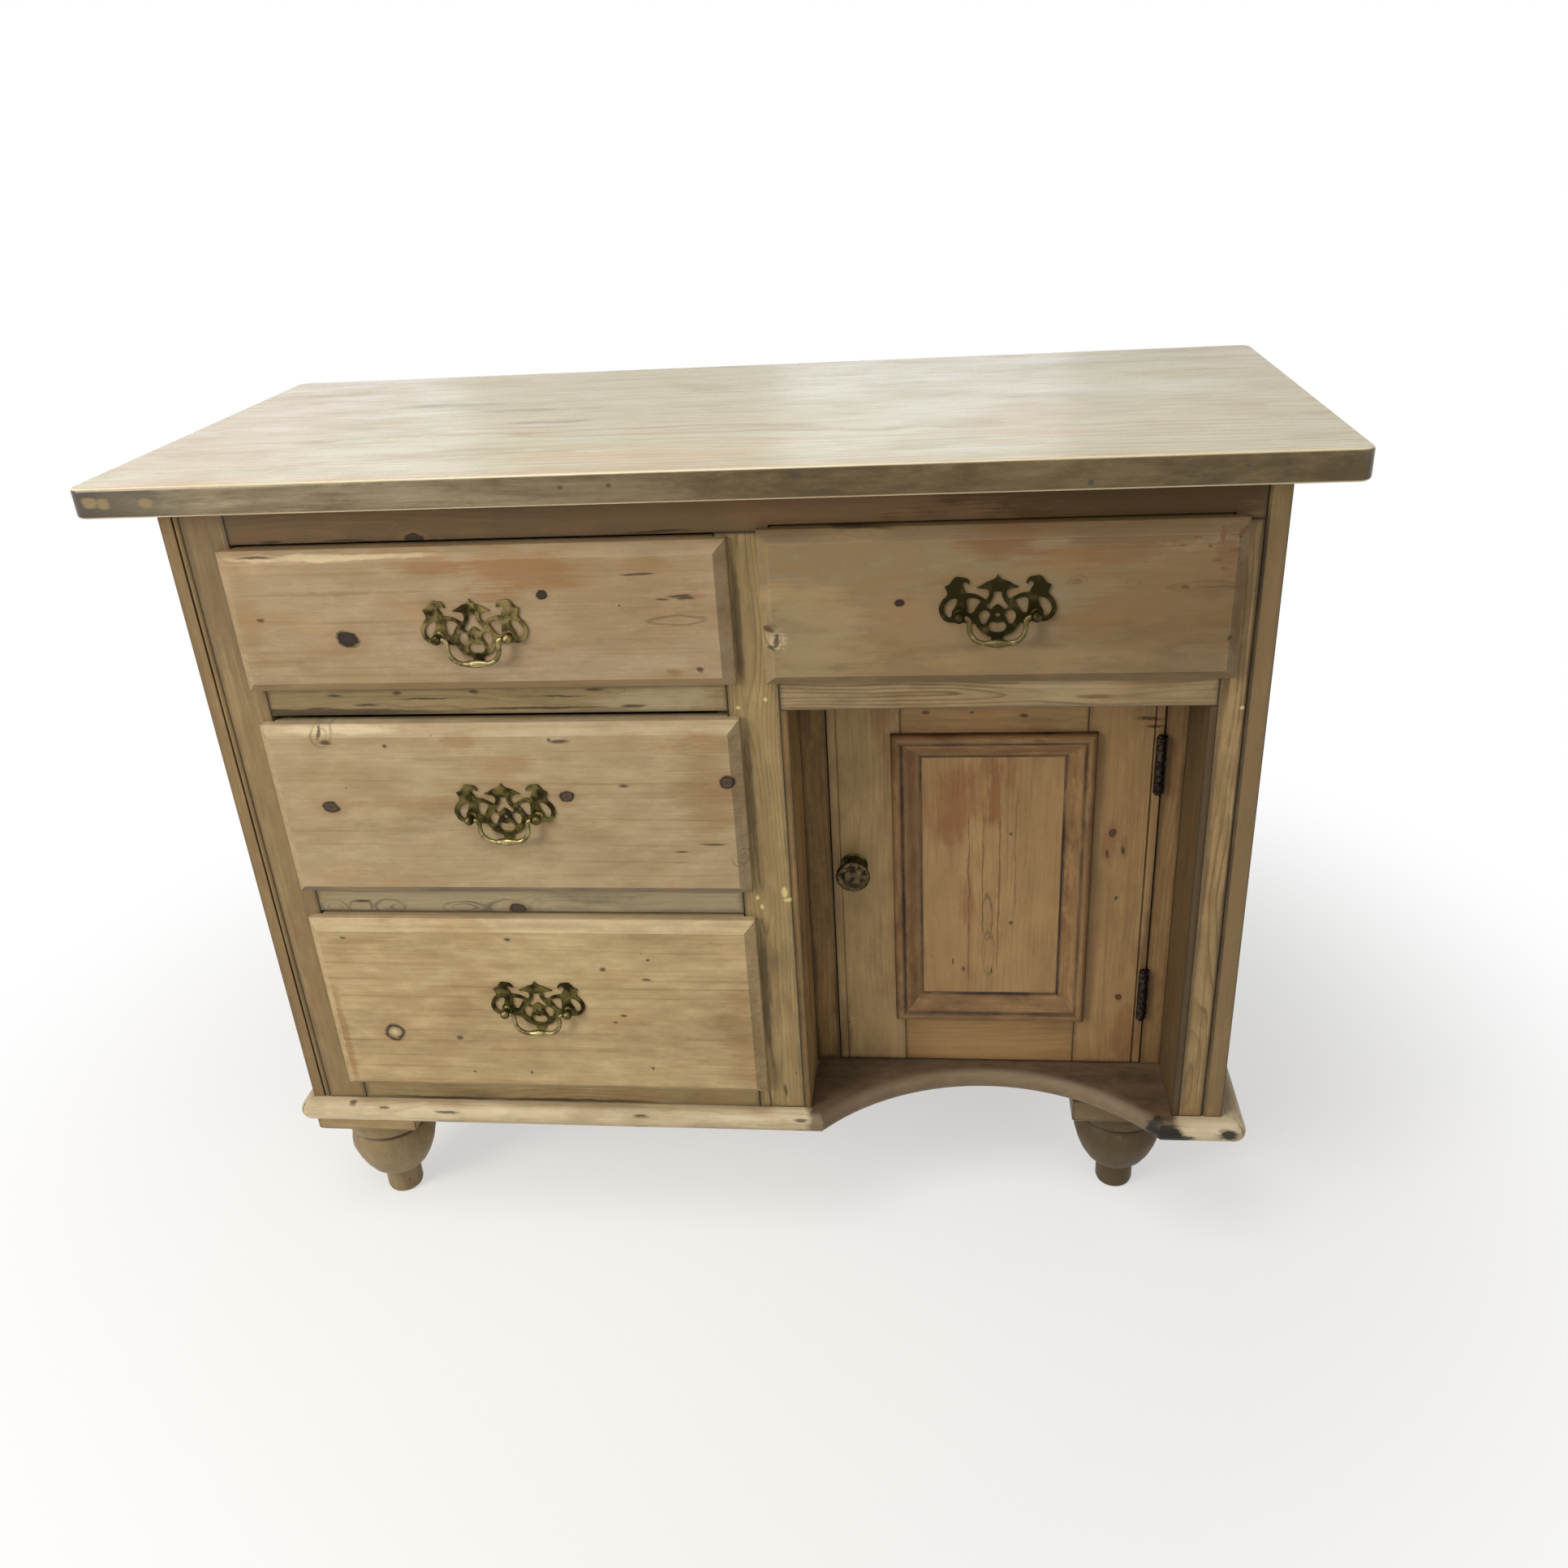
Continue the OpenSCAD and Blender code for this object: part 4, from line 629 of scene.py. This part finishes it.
# Top board
# One thick slab of pale pine, scrubbed and waxed to a sheen, with round corners. Its edges are
# grey with handling, its upper arris is rubbed pale, and old nail holes are filled at the left.
HONEY, GREYED = "#B68F5C", "#857B5E"
top_pine = pine(
    "scrubbed_pine_top", "#CAC69E", "#AE9164", "#B8935C", "#8F876A", ring=7.5, figure=0.95, mottle=0.2,
    threads=0.85, stained=0.28, edge=0, gloss=0.2, shine=0.5, relief=0.35, strays=False, pricks=0.25,
    arris=("#8A7C60", 0.0),
    patches=[((-455, 0, 150, 300), 0.5, HONEY), ((500, 0, 90, 300), 0.12, HONEY),
             ((-293, 67, 70, 12), 0.65, GREYED), ((-200, 28, 90, 10), 0.6, GREYED),
             ((-164, -33, 45, 8), 0.7, GREYED), ((282, -108, 60, 100), 0.5, "#BC9660"),
             ((-60, -228, 480, 12), 0.4, "#C49A68"), ((-278, -148, 40, 14), 0.5, "#A98A6E"),
             ((370, 172, 150, 22), 0.45, "#9C9370"), ((380, 30, 120, 60), 0.4, "#DCDAC8"),
             ((450, -70, 46, 50), 0.15, "#AE9468"), ((60, 120, 120, 20), 0.25, "#A89A74"),
             ((-60, -180, 140, 40), 0.4, "#D0A56A")])
tree = top_pine.node_tree
node = partial(add, tree)
lay = partial(laid, tree)
top_colour = tree.nodes["Principled BSDF"].inputs["Base Color"]
spot = node("Attribute", attribute_name="spot", out=1)
along_grain = partial(streaks, tree, node("Attribute", attribute_name="grain", out=1))
fleck = along_grain(60, 4, 4.0, 0.7)
smear = along_grain(150, 9, 6.0, 0.7)
soiling = along_grain(70, 22, 7.0, 0.72)

# The edges: grey with handling, darkest at the left corner, and darker and browner towards the right, partly
# soiling and partly painted shade where the light falls off
FRONT_EDGE, LEFT_END = -238, -535
edges = lay(linear("#91866A"), "#6A5C42", smear, 0.38, 0.62)
edges = lay(edges, "#54452C", soiling, 0.5, 0.68, 0.7)
edges = lay(edges, "#3E362A", from_mark(tree, spot, (LEFT_END, FRONT_EDGE, 60, 60)), 2.0, 0.3, 0.95)
browned_and_shaded = node("Math", node("MapRange", node("SeparateXYZ", spot), -320.0, 100.0, 0.0, 0.95),
               node("MapRange", soiling, 0.3, 0.6, 0.65, 1.0), operation="MULTIPLY")
edges = lay(edges, "#54400E", browned_and_shaded, 0.0, 1.0)
soiled = node("Math", browned_and_shaded, node("MapRange", soiling, 0.44, 0.6, 0.0, 0.6), operation="MULTIPLY")
soiled = node("Math", soiled, node("MapRange", fleck, 0.35, 0.65, 0.4, 1.0), operation="MULTIPLY")
edges = lay(edges, "#2A1F08", soiled, 0.0, 1.0)

# Three filled holes at the left and small dark bruises: way along, two radii, depth, third radius
FILLS = ((-516, 8, 5, 1, 5), (-503.5, 6, 4, 0, 5), (-465.5, 6, 5, 0, 4))
BRUISES = ((-63.5, 2.5, 5, 2.5, 2), (-104, 3, 5, 2, 2), (89, 7, 5, 6, 3), (321.5, 3, 5, -7, 3),
           (470, 3, 5, 3.5, 2.5), (440, 3, 5, 3, 1.5), (393, 3, 5, -13, 2.5))
for marks, tone in ((FILLS, "#82724C"), (BRUISES, "#3A3024")):
    for along, *radii in marks:
        way = node("Math", from_mark(tree, spot, (along, FRONT_EDGE, *radii)),
                   node("MapRange", smear, LEAST, MOST, -0.4, 0.4), operation="ADD")
        edges = lay(edges, tone, way, 1.1, 0.7, 0.85)

# Pale flecks on the top, and the edges with their rubbed upper arris: level is 1 on the flat top
level = node("Math", node("SeparateXYZ", node("TexCoord", out=1), out=2), operation="ABSOLUTE")
colour = lay(top_colour.links[0].from_socket, "#E8DFC8", fleck, 0.55, 0.72, 0.6)
colour = lay(colour, edges, level, 0.7, 0.35)
rubbed = node("Math", node("MapRange", level, 0.5, 0.72), node("MapRange", level, 0.97, 0.88),
              operation="MULTIPLY")
colour = lay(colour, "#E3D6B6", rubbed, 0.0, 1.0, 0.7)
tree.links.new(colour, top_colour)
board("top_board", top_pine, ease=0, along=0, heart=(70, 60))


# Drawer fronts
# Solid pine with sloped edges that lap the frame. Each board shows its own knots and stains.
RED, BROWN, GREY, PALE = "#875F37", "#86683F", "#72665A", "#DCCDA6"
FRONT = dict(late="#836A44", stain="#A27A48", grime="#5C4A31", ring=5.2, figure=0.13, threads=0.55,
             mottle=0.38, stained=0.32, dirty=0.38, edge=0.4, arris=("#CDBB96", 0.35), strays=False)
FRONTS = {
    "low": dict(
        early="#B7A279", eye=("#C9B58E", "#8E7858", "#271C12"), halo=0.35,
        knots=[(-158, -29.6, 10.5, 9)],
        specks=[(-20, 85, 3.5, 1.8), (72, 51, 3, 2), (115, 40, 4, 1.3), (118, 63, 2, 1.6),
                (86, -4.4, 3.5, 2), (77, -13, 2, 1.5), (-89.5, -36, 3.5, 2.4), (-19, -79, 2, 1.8),
                (110, -70, 1.8, 1.8), (-81, -78, 1.5, 1.5), (-190, 86, 3, 1.2)],
        patches=[((-55, 35, 36, 26), 0.25, RED), ((-80, 8, 24, 14), 0.25, RED),
                 ((-212, -40, 5, 70), 0.5, RED), ((205, -40, 30, 70), 0.45, BROWN),
                 ((120, -33, 80, 8), 0.25, BROWN), ((0, -97, 230, 6), 0.3, BROWN),
                 ((232, 0, 8, 110), 0.4, PALE)],
        # The pale tint on its upward top slope is partly rubbed wear and partly painted highlight
        slopes=[(1, 0.25, PALE)]),
    "mid": dict(
        early="#A99776", eye=("#33271C", "#4A3A2B", "#150E09"),
        knots=[(-169.6, 7.4, 9, 6), (60.9, 17.9, 7, 5.6), (212, 32, 7, 6.4)],
        loops=[(-164.5, 82, 10, 12), (-164, 80, 5, 7), (219, -48.5, 8, 8), (221, -50, 4, 4)],
        specks=[(61, 74, 8, 2), (52, 76, 2, 1.6), (-167, 84, 1.6, 6), (-160, 75, 5, 2.2),
                (116, 29.5, 5, 2), (-103, 71.5, 2, 1.5), (163, -41, 7, 1), (195, -33, 12, 0.9)],
        patches=[((-35, 76, 19, 9), 0.5, BROWN), ((13, 52, 24, 12), 0.3, BROWN),
                 ((-60, 10, 120, 7), 0.3, BROWN), ((195, 15, 40, 70), 0.5, BROWN),
                 ((-150, 86, 80, 5), 0.5, PALE)],
        # The pale tint on its upward top slope is partly rubbed wear and partly painted highlight
        slopes=[(1, 0.12, PALE), (-1, 0.95, GREY)]),
    "top": dict(
        early="#A28F73", eye=("#2B1F16", "#1C130C", "#0E0905"),
        knots=[(-117, -14.5, 10.5, 8.4), (65.5, 23.7, 4.4, 4)],
        loops=[(180, -2, 24, 4)],
        specks=[(185, 19.7, 10, 1.2), (170, 17, 5, 1), (190, 18, 7, 1.4), (197, -48, 3, 2.8),
                (-193.6, 5, 3.5, 1.4), (-187, 61, 18, 1), (150, 40, 14, 1)],
        patches=[((-38, 50, 40, 11), 0.6, RED), ((55, 44, 70, 19), 0.62, RED),
                 ((28, 24, 24, 9), 0.45, RED), ((158, 49, 26, 12), 0.5, BROWN),
                 ((174, -49, 8, 4), 0.5, "#7C5238"),
                 ((-120, 60, 90, 2.5), 0.6, PALE), ((120, 30, 110, 40), 0.25, BROWN),
                 ((195, 18, 14, 4), 0.4, "#8A5A3A"), ((-205, 0, 12, 60), 0.25, BROWN)],
        slopes=[(1, 0.35, "#9A8562"), (-1, 0.6, "#8C7450")]),
    # The right drawer's front is darker than the others: partly its own colour and dirt, partly painted shade
    # for the dimmer light at the right
    "right": dict(
        early="#7E6E53", mottle=0.55, dirty=0.5, eye=("#21160E", "#1C120B", "#0E0905"), halo=0.35,
        knots=[(-82.3, 6.5, 4.2, 3.2)],
        loops=[(65.5, 22, 7, 5), (63, 22, 3, 2.4), (109, 19, 5, 4), (164.7, 15, 25, 4),
               (171, 14, 18, 2), (-190.7, -22, 7, 10), (-186, -30, 4, 6)],
        specks=[(-193, -16, 5, 2.6), (-187, -25, 2, 7), (-191, -33, 4, 2), (190, -30, 2.4, 2.4),
                (-120, 70, 30, 1.4)],
        patches=[((2, 55, 42, 22), 0.65, "#6E4B2C"), ((35, 66, 90, 12), 0.45, "#6E4A2A"),
                 ((58, 40, 26, 12), 0.35, RED), ((184, 46, 14, 24), 0.55, "#674630"),
                 ((196, 0, 5, 60), 0.5, "#6A4730"), ((90, 50, 60, 14), 0.35, "#6E4F30"),
                 ((-180, 68, 40, 8), 0.5, "#4B3E2C"), ((-187, -24, 10, 12), 0.6, PALE),
                 ((120, 60, 110, 10), 0.4, "#4F3F2B"), ((60, 78, 130, 4), 0.4, "#453522"),
                 ((150, 0, 110, 70), 0.5, "#705434"), ((-165, -30, 70, 60), 0.35, "#A5946F"),
                 ((-60, -10, 90, 30), 0.3, "#95795A"), ((40, -45, 120, 14), 0.35, "#96805A")],
        dabs=[([(178, 58, 2.6, 7), (188, 45, 7, 1.8), (174, 37, 5, 1.4), (191, 58, 1.6, 6),
                (158, 56, 4, 1.2), (168, 49, 2, 1.6), (148, 50, 3, 1), (180, 30, 3, 1)], "#6E4A30"),
              ([(65.5, 22, 4.6, 3.2)], "#73553A"),
              ([(151, 15, 3.4, 2), (178, 14.5, 18, 0.8)], "#5C452C")],
        slopes=[(1, 0.6, "#6B5738"), (-1, 0.6, "#64523A")]),
}
for key, marks in FRONTS.items():
    front_pine = pine("waxed_pine_front_" + key, **{**FRONT, **marks})
    board(f"drawer_{key}_front", front_pine, ease=1.3, along=0, heart=(20, 60))


# Drawer boxes
# Sides tailed into the front, a back between them and a thin bottom in grooves, left unwaxed.
box_pine = pine("plain_pine_drawers", "#C2A87C", "#96774C", "#8C6A42", "#5B4A34", ring=4.2, gloss=0.6,
                dirty=0.35, edge=0.35)
for key in FRONTS:
    board(f"drawer_{key}_box", box_pine, ease=0, along=1)
    board(f"drawer_{key}_bottom", box_pine, ease=0, along=0)


# Swan-neck handles
# Pierced plates of cast brass on two posts, with a bail that hangs from the posts' heads.
# Long handling has left the bails paler than the plates, which are brown in every recess.
def metal(name, bright, dark, share=0.5, rough=0.38, grit=3.0):
    """Old metal: a handled sheen in places, dull brown in others, with pits about grit mm apart.

    share is how much of it is dull, and rough its roughness where it is bright.
    """
    material = bpy.data.materials.new(name)
    material.use_nodes = True
    tree = material.node_tree
    shader = tree.nodes["Principled BSDF"]
    node = partial(add, tree)
    where = node("TexCoord", out=3)
    tarnish = node("TexNoise", where, named={"Scale": MM / (grit * 3), "Detail": 4.0, "Roughness": 0.6})
    pits = node("TexNoise", where, named={"Scale": MM / grit, "Detail": 3.0, "Roughness": 0.65})
    shift = 0.4 * (share - 0.5)
    mask = node("MapRange", tarnish, 0.36 - shift, 0.64 - shift, 0.0, 1.0, interpolation_type="SMOOTHSTEP")
    colour = node("Mix", data_type="RGBA", out=2,
                  named={FACTOR: mask, UNDER: linear(bright), OVER: linear(dark)})
    tree.links.new(colour, shader.inputs["Base Color"])
    shader.inputs["Metallic"].default_value = 1.0
    dull = node("MapRange", node("Math", mask, pits, operation="ADD"), 0.2, 1.6, rough - 0.08, rough + 0.22)
    tree.links.new(dull, shader.inputs["Roughness"])
    bump = node("Bump", named={"Strength": 0.35, "Distance": 0.0003, "Height": pits})
    tree.links.new(bump, shader.inputs["Normal"])
    return material


def fitting(name, material, ease=0.3):
    """A CAD piece of metal with its corners broken, as a file leaves them."""
    bm = copied(name, weld=1e-5, flat=0.4)
    if ease:
        rub(bm, ease, sharp=45)
    mesh = bpy.data.meshes.new(name + "_metal")
    bm.to_mesh(mesh)
    show(mesh, name, material)


# The right drawer's brass is darker and duller: partly its own tarnish, partly painted shade for the dimmer
# light at the right
BRASS = {"low": ("#6E6438", 0.55), "mid": ("#6B6136", 0.55),
         "top": ("#85754A", 0.5), "right": ("#4E4428", 0.8)}
for key, (tone, share) in BRASS.items():
    plate_brass = metal("tarnished_cast_brass_" + key, tone, "#2A2412", share=share, grit=4.5)
    bail_brass = metal("handled_brass_" + key, "#988C60", "#5A5032", share=share - 0.1, rough=0.3)
    fitting(f"drawer_{key}_plate", plate_brass)
    fitting(f"drawer_{key}_posts", plate_brass, ease=0)
    fitting(f"drawer_{key}_bail", bail_brass, ease=0)


# Door
# Stiles and rails with a flat panel in grooves, waxed darker than the drawers.
DOOR = dict(early="#A38559", late="#75583A", stain="#83532F", grime="#463A2A", figure=0.25, mottle=0.25,
            stained=0.25, edge=0.35, joint=0.35, arris=("#2A2016", 0.6), strays=False)
RUST, LATE_LINE = "#7F5235", "#6E4E2E"
DOOR_PARTS = {
    # The left door stile's paler colour is partly painted light: it lifts the shade that falls on it at the
    # recess's left side
    "door_stile_left": dict(
        early="#B59A6B", patches=[((200, 20, 60, 16), 0.4, RUST), ((-180, -30, 60, 9), 0.4, "#5A3C24")]),
    "door_stile_right": dict(
        knots=[(55.8, -7.2, 4, 3.4), (-139, 9, 3.4, 3)], eye=("#4A3222", "#5A3C28", "#33231A"), halo=0.5,
        specks=[(36, 4.3, 4, 2), (32, -10, 5, 1.6), (-18.6, 0.7, 2, 1.6), (178, 21, 2, 12),
                (170, 26, 1.6, 8)],
        patches=[((46, -8, 30, 9), 0.45, RUST), ((36, 5, 12, 5), 0.4, RUST),
                 ((-80, 33, 90, 5), 0.5, "#4A3220"), ((-190, 20, 40, 20), 0.4, RUST)]),
    "door_rail_top": dict(
        specks=[(-64, -3, 4, 2), (28, -7.8, 4.4, 2.2), (92, -8.5, 4, 1.6), (-20, -4, 2, 1)]),
    "door_rail_bottom": dict(early="#997A4F", patches=[((0, 24, 90, 5), 0.4, "#5A4028")]),
}
for part, look in DOOR_PARTS.items():
    board(part, pine("waxed_pine_" + part, **{**DOOR, **look}))
panel_pine = pine(
    "stained_pine_panel", **{**DOOR, "edge": 0.0, "joint": 0.0, "arris": ("#2A2016", 0.0)},
    specks=[(52.5, 19, 2, 1.8), (-52, 21, 2.2, 2), (-109, -27, 3, 1.4), (-112, 2, 4, 1),
            (-100, -38, 3, 1)],
    loops=[(-46, -3.3, 26, 5), (-90, -2, 26, 6)],
    patches=[((88, -38, 52, 36), 0.55, RUST), ((56, -46, 26, 20), 0.5, RUST),
             ((114, -30, 26, 24), 0.5, RUST), ((100, -20, 50, 30), 0.35, RUST),
             ((95, 2, 44, 12), 0.75, RUST), ((120, 16, 26, 14), 0.4, RUST),
             ((132, -1, 20, 14), 0.5, RUST), ((-38, -23, 30, 10), 0.5, RUST),
             ((0, -22, 130, 1.2), 0.8, LATE_LINE), ((20, -8, 120, 1.0), 0.8, LATE_LINE),
             ((-10, 8, 140, 1.0), 0.8, LATE_LINE), ((30, 24, 100, 0.8), 0.6, LATE_LINE)])
board("door_panel", panel_pine, ease=0, along=2)


# Door moulding
# Four lengths of moulding mitred round the panel and lapped over the frame: a round bead, a
# sunk line and a long hollow. Old polish has gone dark in the line and at the mitres.
BEHIND = 6  # How far the moulding reaches behind the frame's face, down to the panel, in mm
LAP, WIDE = 9, 29  # Its lap on the frame, and its whole width
MITRE_GAP = 0.12  # Each length stops this far short of the mitre
BEAD_RADIUS, BEAD_X, BEAD_Y = 5, 5.5, 4
HOLLOW_X, HOLLOW_WIDE, HOLLOW_TOP, HOLLOW_FALL = 11, 16, 5.8, 10.6
low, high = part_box("door_moulding")
face = high.y * MM - BEHIND
turns = [math.radians(a) for a in range(180, 30, -20)]
bead = [(BEAD_X + BEAD_RADIUS * math.cos(a), BEAD_Y + BEAD_RADIUS * math.sin(a)) for a in turns]
steps = [i / 12 for i in range(13)]
hollow = [(HOLLOW_X + HOLLOW_WIDE * t, HOLLOW_TOP - HOLLOW_FALL * (t - math.sin(math.tau * t) / 12))
          for t in steps]
section = [(0, 0), (0, 3)] + bead + hollow + [(WIDE, -5.2), (WIDE, -BEHIND), (LAP, -BEHIND), (LAP, 0)]
foot, quirk, inner = 2, 2 + len(bead), 2 + len(bead) + len(hollow)
sunk = [((1, foot, quirk, inner), 1.0), ((foot + 1, quirk - 1, quirk + 1, inner - 1), 0.55)]
bm = bmesh.new()
arris = bm.faces.layers.float.new("arris")
for upright in (True, False):
    across_low, across_high = (low.x * MM, high.x * MM) if upright else (low.z * MM, high.z * MM)
    run_low, run_high = (low.z * MM, high.z * MM) if upright else (low.x * MM, high.x * MM)
    for first in (True, False):
        rows = []
        for u, h in section:
            c = across_low + u if first else across_high - u
            ends = []
            for a in (run_low + u + MITRE_GAP, run_high - u - MITRE_GAP):
                ends.append(bm.verts.new(Vector((c, face - h, a) if upright else (a, face - h, c)) / MM))
            rows.append(ends)
        for i, row in enumerate(rows):
            strip = bm.faces.new((row[0], row[1], rows[i - 1][1], rows[i - 1][0]))
            strip[arris] = next((much for edge, much in sunk if i in edge), 0.0)
        for end in (0, 1):
            bm.faces.new([row[end] for row in rows])[arris] = 1.0
bmesh.ops.recalc_face_normals(bm, faces=bm.faces)
MOULDING = dict(early="#8E7049", stain="#5A3C25", grime="#3B2C1E", ring=2.4, figure=1.0, threads=0.8,
                mottle=0.8, stained=0.8, dirty=0.8, edge=0.0, joint=0.7, arris=("#1F1811", 0.95))
board("door_moulding", pine("waxed_pine_moulding", **{**DOOR, **MOULDING}), ease=0, form=bm)


# Hinges, knob and turn
# Iron butt hinges, a turned knob darkened almost black, and the turn behind it.
iron = metal("blackened_iron", "#4A423A", "#241E1A", share=0.55, rough=0.5, grit=1.6)
knob_metal = metal("dark_bronzed_knob", "#5D5038", "#2A221A", rough=0.36, grit=2.2)
for part in ("hinge_fixed_leaves", "hinge_pins", "door_hinge_leaves", "turn_tongue"):
    fitting(part, iron, ease=0.2)
fitting("knob_rose", metal("tarnished_rose", "#6B6136", "#2C2614"), ease=0)
fitting("door_knob", knob_metal, ease=0)

# Heads of the back boards' nails: low domes 6 mm across, up the sides and the partition and two
# to a board along the bottom
NAIL_RADIUS, NAIL_SUNK, NAIL_FLATTENED, BACK_FACE = 0.003, 0.001, 0.3, 0.2366
UPRIGHTS, HEIGHTS = (-461, 52, 468), range(240, 820, 96)
BOARDS, PAIR, BOTTOM = range(-467, 319, 157), (32, 124), 183.5
places = [(x, z) for x in UPRIGHTS for z in HEIGHTS]
places += [(x + way, BOTTOM) for x in BOARDS for way in PAIR]
bm = bmesh.new()
for x, z in places:
    dome = bmesh.ops.create_uvsphere(bm, u_segments=14, v_segments=8, radius=NAIL_RADIUS)
    for v in dome["verts"]:
        y = max(v.co.y, -NAIL_SUNK) * NAIL_FLATTENED + BACK_FACE
        v.co = Vector((v.co.x + x / MM, y, v.co.z + z / MM))
nail_mesh = bpy.data.meshes.new("back_nails")
bm.to_mesh(nail_mesh)
for face in nail_mesh.polygons:
    face.use_smooth = True
nail_mesh.materials.append(iron)
nails = bpy.data.objects.new("back_nails", nail_mesh)
bpy.context.scene.collection.objects.link(nails)
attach(nails, "carcass")
